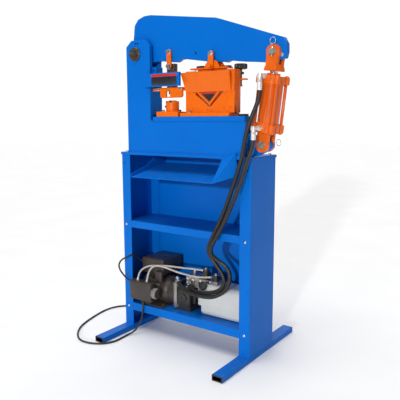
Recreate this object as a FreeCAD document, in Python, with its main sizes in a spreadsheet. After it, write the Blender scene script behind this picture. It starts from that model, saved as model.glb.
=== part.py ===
import FreeCAD, Part
import Sketcher
import math
import os
import re

# Hydraulic ironworker on a sheet-metal stand.  Millimetres, +Z up, +X to the
# right of the operator, +Y away from the operator.  The origin is on the
# floor, under the middle of the machine's own box (stand, frame and
# cylinder); the middle of the stand is stand_x from it.

V = FreeCAD.Vector
doc = FreeCAD.newDocument("ironworker")
sheet = doc.addObject("Spreadsheet::Sheet", "Sheet")
ALIAS = {}
NODES = {}


def cell(alias, value):
    n = len(ALIAS) + 1
    sheet.set("A%d" % n, alias)
    sheet.set("B%d" % n, "%.6g" % value)
    sheet.setAlias("B%d" % n, alias)
    ALIAS[alias] = value
    return alias


def ex(e):
    return re.sub(r"[a-z][a-z_0-9]*", lambda m: "Sheet." + m.group(0) if m.group(0) in ALIAS else m.group(0), e)


def bind(obj, prop, e, auto):
    """Binds a property to an expression over the sheet, or to a new cell."""
    if not isinstance(e, str):
        cell(auto, e)
        e = auto
    obj.setExpression(prop, ex(e))


def place(obj, name, x, y, z, rot=None):
    if rot is not None:
        obj.Placement = FreeCAD.Placement(V(0, 0, 0), rot)
    for ax, v in (("x", x), ("y", y), ("z", z)):
        if not isinstance(v, str):
            v = cell("%s_p%s" % (name, ax), v)
        if ax == "x":
            v = "stand_x + (" + v + ")"
        obj.setExpression(".Placement.Base." + ax, ex(v))


def box(name, lx, ly, lz, x, y, z):
    o = doc.addObject("Part::Box", name)
    bind(o, "Length", lx, name + "_lx")
    bind(o, "Width", ly, name + "_ly")
    bind(o, "Height", lz, name + "_lz")
    place(o, name, x, y, z)
    return o


def xbox(name, x0, x1, y0, y1, z0, z1):
    """A box from its two corners."""
    return box(name, x1 - x0, y1 - y0, z1 - z0, x0, y0, z0)


ROT = {"Z": FreeCAD.Rotation(), "X": FreeCAD.Rotation(V(0, 1, 0), 90), "Y": FreeCAD.Rotation(V(1, 0, 0), -90)}


def cyl(name, r, h, x, y, z, axis="Z"):
    o = doc.addObject("Part::Cylinder", name)
    bind(o, "Radius", r, name + "_rad")
    bind(o, "Height", h, name + "_len")
    rot = ROT[axis] if isinstance(axis, str) else FreeCAD.Rotation(V(0, 0, 1), axis)
    place(o, name, x, y, z, rot)
    return o


def cone(name, ra, rb, h, x, y, z, axis="Z"):
    o = doc.addObject("Part::Cone", name)
    bind(o, "Radius1", ra, name + "_ra")
    bind(o, "Radius2", rb, name + "_rb")
    bind(o, "Height", h, name + "_len")
    rot = ROT[axis] if isinstance(axis, str) else FreeCAD.Rotation(V(0, 0, 1), axis)
    place(o, name, x, y, z, rot)
    return o


def torus(name, ra, rb, x, y, z, axis="Z"):
    o = doc.addObject("Part::Torus", name)
    bind(o, "Radius1", ra, name + "_ra")
    bind(o, "Radius2", rb, name + "_rb")
    rot = ROT[axis] if isinstance(axis, str) else FreeCAD.Rotation(V(0, 0, 1), axis)
    place(o, name, x, y, z, rot)
    return o


def cut(name, a, b):
    o = doc.addObject("Part::Cut", name)
    o.Base = a
    o.Tool = b
    return o


def fuse(name, *parts):
    o = doc.addObject("Part::MultiFuse", name)
    o.Shapes = list(parts)
    o.Refine = True
    return o


def drill(name, a, *tools):
    return cut(name, a, tools[0] if len(tools) == 1 else fuse(name + "_holes", *tools))


def node(label, obj):
    obj.Label = label
    NODES[label] = obj
    return obj


PLANE = {"XY": "XY_Plane", "XZ": "XZ_Plane", "YZ": "YZ_Plane"}


def profile(name, plane, pts, length, x, y, z, rounds=(), edge=0.0, holes=()):
    """A plate: a closed outline of straight sides on one plane, padded to a
    thickness.  rounds are (corner numbers, radius) of outline corners that
    are rounded; edge is the small bevel round both faces; holes are (u, v,
    radius) in the same plane.  XZ plates grow towards -Y from y, YZ plates
    towards +X, XY plates towards +Z."""
    body = doc.addObject("PartDesign::Body", name)
    sk = body.newObject("Sketcher::SketchObject", name + "_sketch")
    ori = [f for f in body.Origin.OriginFeatures if f.Role == PLANE[plane]][0]
    sk.AttachmentSupport = [(ori, "")]
    sk.MapMode = "FlatFace"
    n = len(pts)
    for i in range(n):
        a, b = pts[i], pts[(i + 1) % n]
        sk.addGeometry(Part.LineSegment(V(a[0], a[1], 0), V(b[0], b[1], 0)), False)
    for i in range(n):
        sk.addConstraint(Sketcher.Constraint("Coincident", i, 2, (i + 1) % n, 1))
    for i in range(n):
        for k, kind in ((0, "DistanceX"), (1, "DistanceY")):
            al = cell("%s_v%d%s" % (name, i, "uv"[k]), pts[i][k])
            c = sk.addConstraint(Sketcher.Constraint(kind, -1, 1, i, 1, pts[i][k]))
            sk.setExpression("Constraints[%d]" % c, "Sheet." + al)
    g = n
    for j, (u, v, r) in enumerate(holes):
        sk.addGeometry(Part.Circle(V(u, v, 0), V(0, 0, 1), r), False)
        al = cell("%s_h%drad" % (name, j), r)
        c = sk.addConstraint(Sketcher.Constraint("Radius", g, r))
        sk.setExpression("Constraints[%d]" % c, "Sheet." + al)
        for val, kind, t in ((u, "DistanceX", "u"), (v, "DistanceY", "v")):
            al = cell("%s_h%d%s" % (name, j, t), val)
            c = sk.addConstraint(Sketcher.Constraint(kind, -1, 1, g, 3, val))
            sk.setExpression("Constraints[%d]" % c, "Sheet." + al)
        g += 1
    pad = body.newObject("PartDesign::Pad", name + "_pad")
    pad.Profile = sk
    bind(pad, "Length", length, name + "_thk")
    body.Tip = pad
    last = pad
    if rounds or edge:
        doc.recompute()
    nrm = {"XY": V(0, 0, 1), "XZ": V(0, 1, 0), "YZ": V(1, 0, 0)}[plane]
    uv = {"XY": lambda p: (p.x, p.y), "XZ": lambda p: (p.x, p.z), "YZ": lambda p: (p.y, p.z)}[plane]
    for k, (corners, r) in enumerate(rounds):
        names = []
        for i, e in enumerate(last.Shape.Edges):
            if e.Curve.TypeId != "Part::GeomLine":
                continue
            p, q = e.Vertexes[0].Point, e.Vertexes[1].Point
            if abs((q - p).normalize().dot(nrm)) < 0.999:
                continue
            u, v = uv(p)
            if any(abs(pts[c][0] - u) < 1e-4 and abs(pts[c][1] - v) < 1e-4 for c in corners):
                names.append("Edge%d" % (i + 1))
        f = body.newObject("PartDesign::Fillet", "%s_round%d" % (name, k))
        f.Base = (last, names)
        bind(f, "Radius", r, "%s_round%drad" % (name, k))
        body.Tip = f
        doc.recompute()
        last = f
    if edge:
        names = []
        for i, fc in enumerate(last.Shape.Faces):
            if fc.Surface.TypeId == "Part::GeomPlane" and abs(fc.normalAt(0, 0).dot(nrm)) > 0.999:
                names.append("Face%d" % (i + 1))
        f = body.newObject("PartDesign::Chamfer", name + "_bevel")
        f.Base = (last, names)
        bind(f, "Size", edge, name + "_bev")
        body.Tip = f
        last = f
    place(body, name, x, y, z)
    return body


def shape_node(label, shape):
    """A piece whose solid is worked out here from the sheet's sizes."""
    o = doc.addObject("Part::Feature", label)
    o.Shape = shape
    o.Placement = FreeCAD.Placement(V(ALIAS["stand_x"], 0, 0), FreeCAD.Rotation()).multiply(shape.Placement)
    return node(label, o)


# ---------------------------------------------------------------- main sizes
cell("stand_x", -62.45)     # middle of the stand, from the origin
cell("stand_w", 711.2)      # stand width over the side panels
cell("stand_d", 213.2)      # stand depth
cell("stand_top", 866.8)    # top of the side panels
cell("steel", 3.0)          # sheet thickness of the stand
cell("flange", 52.0)        # folded flange of a side panel
cell("foot_w", 50.8)
cell("foot_hgt", 25.4)
cell("foot_wall", 3.0)
cell("foot_run", 625.0)
cell("cap_thk", 2.5)
cell("lid_thk", 12.0)
cell("plate_thk", 19.05)    # the two frame plates
cell("beam_thk", 25.4)
cell("mid_y", -54.5)        # middle plane of beam, cylinder and tooling
cell("front_y", -97.0)      # front face of the front frame plate
cell("rear_y", -12.0)       # rear face of the rear frame plate
cell("pin_rad", 12.7)       # cylinder pins
cell("shelf_hi", 550.4)     # top of the middle shelf
cell("shelf_lo", 140.7)     # top of the bottom shelf
cell("table_top", 1043.0)
cell("table_thk", 21.0)
A = ALIAS
W2 = A["stand_w"] / 2
D2 = A["stand_d"] / 2
T = A["steel"]

# --------------------------------------------------------------------- feet
bits = []
for side, x0 in (("left", "-stand_w / 2"), ("right", "stand_w / 2 - foot_w")):
    outer = box(side + "_tube_outer", "foot_w", "foot_run", "foot_hgt", x0, "-foot_run / 2", 0.0)
    inner = box(side + "_tube_inner", "foot_w - 2 * foot_wall", "foot_run + 2", "foot_hgt - 2 * foot_wall",
                x0 + " + foot_wall", "-foot_run / 2 - 1", "foot_wall")
    node(side + "_foot", cut(side + "_foot_tube", outer, inner))
    for end, ycap, yplug in (("front", "-foot_run / 2 - cap_thk", "-foot_run / 2 - 0.5"),
                             ("rear", "foot_run / 2", "foot_run / 2 - 11.5")):
        bits.append(box("%s_%s_cap" % (side, end), "foot_w", "cap_thk", "foot_hgt", x0, ycap, 0.0))
        bits.append(box("%s_%s_plug" % (side, end), "foot_w - 2 * foot_wall - 0.4", 12.0,
                        "foot_hgt - 2 * foot_wall - 0.4", x0 + " + foot_wall + 0.2", yplug, "foot_wall + 0.2"))
node("foot_caps", fuse("four_caps", *bits))

# --------------------------------------------------------------- side panels
d = A["stand_d"]
fl = A["flange"]
node("left_side_panel", profile(
    "left_panel", "XY", [(0, 0), (fl, 0), (fl, T), (T, T), (T, d - T), (fl, d - T), (fl, d), (0, d)],
    "stand_top - foot_hgt", "-stand_w / 2", "-stand_d / 2", "foot_hgt", rounds=(((0, 7), 4.0),)))
node("right_side_panel", profile(
    "right_panel", "XY", [(-fl, 0), (0, 0), (0, d), (-fl, d), (-fl, d - T), (-T, d - T), (-T, T), (-fl, T)],
    "stand_top - foot_hgt", "stand_w / 2", "-stand_d / 2", "foot_hgt", rounds=(((1, 2), 4.0),)))

# ------------------------------------------------------------------- shelves
for nm, top, lip in (("middle_shelf", "shelf_hi", 33.0), ("bottom_shelf", "shelf_lo", 38.9)):
    cell(nm + "_lip", lip)
    lipz = nm + "_lip"
    deck = box(nm + "_deck", "stand_w - 2 * steel", "stand_d - 2 * steel", "steel",
               "-stand_w / 2 + steel", "-stand_d / 2 + steel", top + " - steel")
    nose = box(nm + "_nose", "stand_w - 2 * flange - 0.4", "steel", lipz,
               "-stand_w / 2 + flange + 0.2", "-stand_d / 2", top + " - " + lipz)
    rear = box(nm + "_rear", "stand_w - 2 * flange - 0.4", "steel", lipz,
               "-stand_w / 2 + flange + 0.2", "stand_d / 2 - 2 * steel", top + " - " + lipz)
    tabl = box(nm + "_tabl", "steel", 120.0, 26.0, "-stand_w / 2 + steel", -60.0, top + " - 26")
    tabr = box(nm + "_tabr", "steel", 120.0, 26.0, "stand_w / 2 - 2 * steel", -60.0, top + " - 26")
    node(nm, fuse(nm + "_sheet", deck, nose, rear, tabl, tabr))

node("back_panel", box("back_sheet", "stand_w - 36", 2.6, 757.0, "-stand_w / 2 + 18", "stand_d / 2", 103.0))
lid = box("lid_plate", "stand_w + 5", "stand_d + 5", "lid_thk", "-stand_w / 2 - 2.5", "-stand_d / 2 - 2.5", "stand_top")
lid_slot = box("lid_slot", 130.0, 40.0, 20.0, -150.0, "mid_y - 20", "stand_top - 4")
node("stand_top_plate", cut("lid_cut", lid, lid_slot))

# ----------------------------------------------------------------- chip tray
def slab(pts, off):
    """A flat sheet: the polygon pts thickened by the vector off."""
    w = Part.makePolygon(list(pts) + [pts[0]])
    return Part.Face(w).extrude(off)


cell("tray_half", 222.0)      # half width of the tray
cell("tray_front_y", -190.0)
cell("tray_front_z", 772.0)
cell("tray_rear_y", 57.0)
cell("tray_rear_z", 822.0)
cell("tray_thk", 2.5)
TX, TY0, TZ0 = A["tray_half"], A["tray_front_y"], A["tray_front_z"]
TY1, TZ1, TT = A["tray_rear_y"], A["tray_rear_z"], A["tray_thk"]
lidz = A["stand_top"]
tray = slab([V(-TX, TY0, TZ0), V(TX, TY0, TZ0), V(TX, TY1, TZ1), V(-TX, TY1, TZ1)], V(0, 0, TT))
tray = tray.fuse(slab([V(-TX, TY0, TZ0), V(-TX, TY0, TZ0 + 16), V(-TX, -146, 800), V(-TX, -74, 819), V(-TX, -45, 838),
                       V(-TX, -26, lidz), V(-TX, TY1, lidz), V(-TX, TY1, TZ1)], V(TT, 0, 0)))
tray = tray.fuse(slab([V(TX, TY0, TZ0), V(TX, -112, lidz), V(TX, TY1, lidz), V(TX, TY1, TZ1)], V(-TT, 0, 0)))
tray = tray.fuse(slab([V(-TX, TY1, TZ1), V(TX, TY1, TZ1), V(TX, TY1, lidz), V(-TX, TY1, lidz)], V(0, TT, 0)))
wing_a, wing_b = V(TX, TY0, TZ0), V(TX - 1, -113, 869)
wing_c, wing_d = V(287, -113, 897), V(296, -113, 800)
tray = tray.fuse(slab([wing_a, wing_b, wing_c], V(-1.5, 2, 0)))
tray = tray.fuse(slab([wing_a, wing_c, wing_d], V(-1.5, 2, 0)))
tray = tray.fuse(Part.makeBox(26, 83, TT, V(-TX, -26, lidz - TT)))
tray = tray.fuse(Part.makeBox(26, 160, TT, V(TX - 26, -103, lidz - TT)))
shape_node("chip_tray", tray.removeSplitter())

# -------------------------------------------------------------- frame plates
frame_out = [(-320, 878.8), (318, 878.8), (318, 1022), (-179, 1022), (-179, 1359), (-204, 1386),
             (-288, 1386), (-320, 1359)]
piv = (-265.0, 1324.0)
node("front_frame_plate", profile(
    "front_plate", "XZ", frame_out, "plate_thk", 0.0, "front_y + plate_thk", 0.0,
    rounds=(((3,), 14.0), ((4, 5), 12.0)), edge=1.0,
    holes=((piv[0], piv[1], 25.5), (-264, 1371, 4.2), (-252, 1371, 4.2))))
node("rear_frame_plate", profile(
    "rear_plate", "XZ", frame_out, "plate_thk", 0.0, "rear_y", 0.0,
    rounds=(((3,), 14.0), ((4, 5), 12.0)), edge=1.0, holes=((piv[0], piv[1], 25.5),)))
node("table_plate", drill(
    "table_cut", box("table_slab", 481.0, "rear_y - front_y + 4", "table_thk", -163.0, "front_y - 2", "table_top - table_thk"),
    cyl("slug_hole", 20.0, 40.0, -84.0, "mid_y", 1010.0)))
gap_y = "front_y + plate_thk"
gap_w = "rear_y - front_y - 2 * plate_thk"
spacers = fuse(
    "spacer_bars",
    box("spine_bar", 19.0, gap_w, 330.0, -320.0, gap_y, 878.8),
    box("throat_bar", 19.0, gap_w, 150.0, -198.0, gap_y, 1050.0),
    box("web_bar", 19.0, gap_w, 120.0, 200.0, gap_y, 895.0),
    drill("crosspiece_cut", box("crosspiece", 40.0, gap_w, 42.0, -198.0, gap_y, 1222.0),
          cyl("crosspiece_hole", 4.0, 60.0, -170.0, "front_y", 1248.0, "Y")))

# -------------------------------------------------- lug that holds the cylinder
bx, bz = 389.7, 928.0
lug = profile("lug_plate", "XZ", [(250, 882), (250, 972), (318, 972), (389.7, 958), (423, 934), (421, 914), (389.7, 897), (360, 882)],
              25.4, 0.0, "mid_y + 12.7", 0.0, rounds=(((3, 4, 5, 6), 14.0),), edge=1.0, holes=((bx, bz, 12.75),))
node("cylinder_lug", lug)

# ---------------------------------------------------------------- pivot pin
node("pivot_pin", fuse(
    "pivot_solid",
    cyl("pivot_shank", 25.4, "rear_y - front_y + 6", piv[0], "front_y - 3", piv[1], "Y"),
    cyl("pivot_head", 31.7, 6.0, piv[0], "front_y - 6", piv[1], "Y"),
    cyl("pivot_nut", 31.7, 6.0, piv[0], "rear_y", piv[1], "Y"),
    cyl("grease_body", 5.0, 5.0, piv[0] - 3, "front_y - 11", piv[1] + 3, "Y"),
    cyl("grease_tip", 3.0, 6.0, piv[0] - 3, "front_y - 17", piv[1] + 3, "Y")))
node("frame_spacers", fuse(
    "spacers_and_washers", spacers,
    cut("washer_front", cyl("washer_fo", 40.0, 9.0, piv[0], "front_y + plate_thk + 0.3", piv[1], "Y"),
        cyl("washer_fi", 25.5, 20.0, piv[0], "front_y + plate_thk - 5", piv[1], "Y")),
    cut("washer_rear", cyl("washer_ro", 40.0, 9.0, piv[0], "rear_y - plate_thk - 9.3", piv[1], "Y"),
        cyl("washer_ri", 25.5, 20.0, piv[0], "rear_y - plate_thk - 14", piv[1], "Y"))))

# --------------------------------------------------------------------- beam
tx, tz = 431.9, 1287.5
beam_out = [(-298, 1408), (-292, 1456), (-271, 1481), (-234, 1493), (-196, 1494), (159, 1445), (468, 1341),
            (482, 1317), (483, 1284), (477, 1262), (390, 1252), (293, 1261), (225, 1269), (208, 1263),
            (190, 1266), (114, 1272), (-13, 1291), (-28, 1289), (-48, 1279), (-113, 1285), (-131, 1290),
            (-225, 1284), (-262, 1276), (-298, 1295), (-310, 1330)]
node("beam", profile("beam_plate", "XZ", beam_out, "beam_thk", 0.0, "mid_y + beam_thk / 2", 0.0,
                     rounds=(((5,), 60.0), ((23, 22), 20.0)), edge=1.0,
                     holes=((piv[0], piv[1], 25.45), (tx, tz, 13.7), (54, 1311, 5.0),
                            (-84, 1324, 6.05), (144, 1301, 6.05))))

# ----------------------------------------------------------- hydraulic cylinder
# built upright on its own axis, then leaned about the bottom pin
lean = math.degrees(math.atan2(tx - bx, tz - bz))
cyl_len = math.hypot(tx - bx, tz - bz)
MY = A["mid_y"]
cell("bore_rad", 38.1)
cell("rod_rad", 15.9)
cell("cap_round", 49.0)       # radius of the two end caps
cell("tie_off", 39.0)         # tie rods, off the axis both ways
cell("tie_rad", 6.5)
cell("ear_thk", 15.9)
cell("ear_gap", 28.6)


def leaned(shape):
    s = shape.copy()
    s.rotate(V(0, 0, 0), V(0, 1, 0), lean)
    s.translate(V(bx, MY, bz))
    return s


def rod_y(r, h, x, y, z):
    return Part.makeCylinder(r, h, V(x, y, z), V(0, 1, 0))


def rod_x(r, h, x, y, z):
    return Part.makeCylinder(r, h, V(x, y, z), V(1, 0, 0))


def rod_z(r, h, x, y, z):
    return Part.makeCylinder(r, h, V(x, y, z), V(0, 0, 1))


def ear_pair(z_base, z_pin, half_w, r_eye, ear_t, gap, hole):
    """Two clevis ears with round ends, one each side of the middle plane."""
    out = None
    for s in (-1, 1):
        y0 = gap / 2 if s > 0 else -gap / 2 - ear_t
        lo, hi = min(z_base, z_pin), max(z_base, z_pin)
        e = Part.makeBox(2 * half_w, ear_t, hi - lo, V(-half_w, y0, lo)).fuse(rod_y(r_eye, ear_t, 0, y0, z_pin))
        e = e.cut(rod_y(hole, ear_t + 2, 0, y0 - 1, z_pin))
        out = e if out is None else out.fuse(e)
    return out


TO, CR = A["tie_off"], A["cap_round"]
CORNERS = [(-TO, -TO), (TO, -TO), (-TO, TO), (TO, TO)]


def end_cap(z0, z1, up):
    """A round cap with four rounded ears, through which the tie rods go."""
    s = rod_z(CR, z1 - z0, 0, 0, z0)
    for x, y in CORNERS:
        zd = z1 - 8 if up else z0 + 8
        s = s.fuse(rod_z(13.5, abs((z0 if up else z1) - zd), x, y, min(zd, z0 if up else zd)))
        s = s.fuse(Part.makeSphere(13.5, V(x, y, zd)))
    return s.fuse(Part.makeBox(2 * TO, 2 * TO, z1 - z0, V(-TO, -TO, z0)))


cyl_z0, cyl_z1 = 50.0, 83.0          # base cap along the axis
cyl_z2, cyl_z3 = 241.0, 271.0        # head cap along the axis
base = end_cap(cyl_z0, cyl_z1, False)
base = base.fuse(ear_pair(cyl_z0 + 0.5, 0, 26, 29, A["ear_thk"], A["ear_gap"], 12.75))
shape_node("cylinder_base_cap", leaned(base.removeSplitter()))
head = end_cap(cyl_z2, cyl_z3, True)
head = head.fuse(rod_z(27, 8, 0, 0, cyl_z3))
head = head.cut(rod_z(A["rod_rad"] + 0.5, 80, 0, 0, cyl_z2 - 5))
shape_node("cylinder_head_cap", leaned(head.removeSplitter()))
barrel = rod_z(43, cyl_z2 - cyl_z1, 0, 0, cyl_z1).cut(rod_z(A["bore_rad"], cyl_z2 - cyl_z1, 0, 0, cyl_z1))
shape_node("cylinder_barrel", leaned(barrel))
ties = None
for x, y in CORNERS:
    t = rod_z(A["tie_rad"], cyl_z2 - cyl_z1, x, y, cyl_z1)
    ties = t if ties is None else ties.fuse(t)
shape_node("tie_rods", leaned(ties))
rod = rod_z(A["rod_rad"], 300 - 110, 0, 0, 110).fuse(rod_z(37.6, 24, 0, 0, 90))
shape_node("piston_rod", leaned(rod))
clv = rod_z(41, 10, 0, 0, 290).fuse(Part.makeCone(41, 34, 16, V(0, 0, 300), V(0, 0, 1)))
clv = clv.common(Part.makeBox(90, 60.4, 60, V(-45, -30.2, 285)))
clv = clv.fuse(ear_pair(312, cyl_len, 25, 29, A["ear_thk"], A["ear_gap"], 12.75))
clv = clv.cut(Part.makeBox(90, A["ear_gap"], 80, V(-45, -A["ear_gap"] / 2, 316)))
clv = clv.cut(rod_z(A["rod_rad"], 10.01, 0, 0, 290))
clv = clv.fuse(rod_y(12, 36, 16, -36, 303).cut(rod_z(A["rod_rad"], 40, 0, 0, 280)))
shape_node("rod_clevis", leaned(clv.removeSplitter()))


def pin(zc):
    p = rod_y(12.7, 78, 0, -45, zc)
    p = p.fuse(rod_y(15.5, 4, 0, 33, zc))
    return p


shape_node("top_pin", leaned(pin(cyl_len)))
shape_node("bottom_pin", leaned(pin(0)))

# hose fittings: a nut on the front of each end cap, an elbow and a ferrule
FIT = {"head": ((410.0, -97.0, 1195.0), (405.0, -136.0, 1207.0), 1141.0),
       "base": ((394.0, -98.0, 995.0), (381.0, -137.0, 1007.0), 950.0)}
fits = None
for nm, (a, b, ferr) in FIT.items():
    pa, pb = V(*a), V(*b)
    dirn = (V(pb.x, pb.y, pa.z) - pa)
    s = Part.makeCylinder(10.5, 20, pa, dirn).fuse(Part.makeCylinder(7.5, dirn.Length, pa, dirn))
    s = s.fuse(Part.makeSphere(9.0, V(pb.x, pb.y, pa.z)))
    s = s.fuse(rod_z(8.0, pa.z - ferr - 14, pb.x, pb.y, ferr + 14)).fuse(rod_z(10.5, 30, pb.x, pb.y, ferr))
    s = s.fuse(rod_z(11.0, 10, pb.x, pb.y, pa.z - 26))
    fits = s if fits is None else fits.fuse(s)
fits = fits.cut(leaned(end_cap(cyl_z2, cyl_z3, True))).cut(leaned(end_cap(cyl_z0, cyl_z1, False)))
shape_node("cylinder_fittings", fits)

# -------------------------------------------------------------- punch station
PX = -84.0
node("punch_link", drill(
    "punch_link_cut",
    fuse("punch_link_bar",
         xbox("punch_link_flat", -95.5, -72.5, -79.5, -71.5, 1262.5, 1323.5),
         cyl("punch_link_hi", 11.5, 8.0, -84.0, -79.5, 1323.5, "Y"),
         cyl("punch_link_lo", 11.5, 8.0, -84.0, -79.5, 1262.5, "Y")),
    cyl("punch_link_h1", 6.3, 20.0, -84.0, -86.0, 1324.0, "Y"),
    cyl("punch_link_h2", 7.0, 20.0, -84.0, -86.0, 1262.0, "Y")))
node("punch_ram", fuse(
    "punch_ram_solid",
    drill("ram_flat", cyl("ram_shaft", 24.0, 106.0, PX, "mid_y", 1168.0),
          xbox("ram_flat_front", -120.0, -50.0, -90.0, -68.0, 1228.0, 1290.0)),
    cyl("punch_body", 16.0, 26.0, PX, "mid_y", 1142.0),
    cyl("punch_tip", 9.0, 16.0, PX, "mid_y", 1127.0),
    cyl("ram_bolt_shank", 6.0, 46.0, -84.0, -87.0, 1262.0, "Y"),
    cyl("ram_bolt_head", 8.5, 6.5, -84.0, -87.0, 1262.0, "Y")))
node("link_bolts", fuse(
    "link_bolt_pair", cyl("punch_bolt_shank", 6.0, 50.0, -84.0, -87.0, 1324.0, "Y"),
    cyl("punch_bolt_head", 8.5, 6.5, -84.0, -87.0, 1324.0, "Y"),
    cyl("shear_bolt_shank", 6.0, 58.0, 144.0, -95.0, 1301.0, "Y"),
    cyl("shear_bolt_head", 7.5, 5.0, 144.0, -94.0, 1301.0, "Y")))
node("punch_guard", fuse(
    "guard_sheet",
    xbox("guard_front", -192.0, 6.0, -122.0, -119.0, 1173.0, 1232.0),
    xbox("guard_side_l", -192.0, -189.0, -122.0, -97.0, 1173.0, 1232.0),
    xbox("guard_tab", -192.0, -180.0, -100.0, -97.0, 1173.0, 1232.0),
    xbox("guard_side_r", 3.0, 6.0, -122.0, -109.5, 1173.0, 1232.0)))
strip = Part.makeBox(124, 78, 12, V(-126, -90, 1158)).fuse(slab(
    [V(-126, -90, 1170), V(-2, -90, 1170), V(-2, -90, 1134), V(-5, -90, 1128), V(-11, -90, 1125), V(-117, -90, 1125),
     V(-123, -90, 1128), V(-126, -90, 1134)], V(0, 10, 0)))
strip = strip.cut(Part.makeBox(22, 20, 28, V(-93, -95, 1130)))
strip = strip.fuse(Part.makeBox(53, 47, 14, V(-179, -78, 1156)))
strip = strip.cut(rod_z(26, 60, PX, MY, 1120))
shape_node("stripper", strip.removeSplitter())
node("die_holder", drill(
    "die_holder_cut", fuse("die_stack", cyl("die_cyl", 30.0, 46.0, PX, "mid_y", 1065.0),
                           cyl("die_ring", 20.0, 2.0, PX, "mid_y", 1111.0)),
    cyl("die_bore", 10.0, 60.0, PX, "mid_y", 1060.0)))
node("die_base", drill(
    "die_base_cut", xbox("die_block", -144.0, -22.0, -97.0, -12.0, 1043.0, 1065.0),
    cyl("die_base_bore", 18.0, 40.0, PX, "mid_y", 1035.0)))

# -------------------------------------------------------------- shear station
node("shear_base", xbox("shear_slab", -10.0, 242.0, -97.0, -12.0, 1043.0, 1058.0))
node("shear_front_plate", profile(
    "shear_face", "XZ", [(8, 1058), (257, 1058), (257, 1147), (206, 1147), (134, 1080), (46, 1147), (8, 1147)],
    16.0, 0.0, -62.0, 0.0, edge=0.6))
node("shear_rear_plate", profile(
    "shear_back", "XZ", [(8, 1058), (257, 1058), (257, 1232), (207, 1232), (207, 1147), (134, 1080), (56, 1147), (56, 1232), (8, 1232)],
    16.0, 0.0, -30.0, 0.0, edge=0.6))
node("shear_posts", fuse(
    "shear_post_pair",
    xbox("post_r_low", 207.0, 257.0, -62.0, -46.0, 1058.0, 1147.0),
    xbox("post_r_high", 207.0, 257.0, -78.0, -46.0, 1147.0, 1234.0),
    xbox("post_l_low", 8.0, 56.0, -62.0, -46.0, 1058.0, 1147.0),
    xbox("post_l_high", 8.0, 56.0, -78.0, -46.0, 1147.0, 1234.0),
    drill("hold_bracket_cut", xbox("hold_bracket_plate", 226.0, 275.0, -30.0, -1.0, 1192.0, 1198.0),
          cyl("hold_bracket_hole", 5.9, 20.0, 248.0, -15.0, 1185.0))))
node("shear_knife", fuse(
    "knife_solid",
    profile("knife_plate", "XZ", [(133, 1089), (185, 1146), (201.5, 1156), (201.5, 1241), (61.5, 1241), (61.5, 1152), (70, 1140)],
            14.0, 0.0, -47.0, 0.0, edge=0.6),
    profile("knife_face", "XZ", [(133, 1089), (186, 1148), (186, 1228), (62, 1228), (62, 1148)], 13.5, 0.0, -60.5, 0.0, edge=0.6),
    xbox("knife_cap", 30.0, 221.0, -76.0, -34.0, 1240.0, 1246.0),
    cut("lug_front", cyl("lug_front_disc", 38.0, 6.0, 144.0, -78.0, 1238.0, "Y"), xbox("lug_front_low", 90.0, 200.0, -80.0, -70.0, 1190.0, 1240.0)),
    cut("lug_rear", cyl("lug_rear_disc", 38.0, 6.0, 144.0, -37.0, 1238.0, "Y"), xbox("lug_rear_low", 90.0, 200.0, -40.0, -30.0, 1190.0, 1240.0)),
    cyl("knife_pin", 6.0, 64.0, 144.0, -94.0, 1249.0, "Y"),
    cyl("knife_pin_head", 7.5, 5.0, 144.0, -94.0, 1249.0, "Y")))
node("shear_link", drill(
    "shear_link_cut",
    fuse("shear_link_bar", xbox("shear_link_flat", 132.0, 156.0, -88.0, -80.0, 1249.0, 1300.5),
         cyl("shear_link_hi", 12.0, 8.0, 144.0, -88.0, 1300.5, "Y"),
         cyl("shear_link_lo", 12.0, 8.0, 144.0, -88.0, 1249.0, "Y")),
    cyl("shear_link_h1", 6.3, 20.0, 144.0, -92.0, 1301.0, "Y"),
    cyl("shear_link_h2", 7.2, 20.0, 144.0, -92.0, 1249.0, "Y")))
HX, HY = 248.0, -15.0
hop = slab([V(11, -80.9, 1146), V(241, -80.9, 1146), V(247, -105, 1227), V(1, -105, 1227)], V(0, 2.9, 0.8))
for x0 in (11.5, 237.5):
    hop = hop.fuse(slab([V(x0, -80, 1147), V(x0, -104, 1226), V(x0, -78, 1226), V(x0, -78, 1147)], V(3, 0, 0)))
shape_node("hopper_plate", hop.removeSplitter())
node("hold_down_screw", fuse("screw_solid", cyl("screw_rod", 5.5, 66.0, HX, HY, 1170.0),
                             cyl("screw_nut", 13.5, 9.0, HX, HY, 1216.0), cyl("screw_foot", 8.0, 5.0, HX, HY, 1166.0)))
node("hold_down_knob", cyl("knob_disc", 27.5, 22.0, HX, HY, 1236.0))

# ------------------------------------------------------------------ power unit
ZS = A["shelf_lo"]
cell("motor_ax_y", -2.0)
cell("motor_ax_z", 209.7)
MAY, MAZ = A["motor_ax_y"], A["motor_ax_z"]
mot = rod_x(68, 167, -285, MAY, MAZ).fuse(rod_x(60, 10, -295, MAY, MAZ))
mot = mot.fuse(Part.makeBox(134, 166, 6, V(-262, -94, ZS))).fuse(Part.makeBox(90, 90, 40, V(-240, MAY - 45, ZS)))
shape_node("motor", mot.removeSplitter())
node("pump_adaptor", fuse("adaptor_solid", cyl("adaptor_disc", 66.0, 34.0, -118.0, "motor_ax_y", "motor_ax_z", "X"),
                          xbox("adaptor_flange", -84.0, -64.0, -64.0, 60.0, ZS + 7, 271.7)))
capb = Part.makeBox(134, 155, 75, V(-281, -60, 290)).fuse(Part.makeBox(100, 60, 26, V(-264, -32, 264)))
capb = capb.fuse(Part.makeBox(42, 20, 50, V(-185, -80, 262)))
capb = capb.cut(rod_x(68.3, 190, -300, MAY, MAZ))
shape_node("capacitor_box", capb.removeSplitter())
CBX, CBY = -232.0, -112.0
ctl = Part.makeBox(135, 36, 90, V(-300, -130, 172)).fuse(Part.makeBox(45, 3, 60, V(-250, -94, ZS + 6)))
ctl = ctl.fuse(Part.makeCone(5.5, 9.5, 32, V(CBX, CBY, 140), V(0, 0, 1)))
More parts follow.
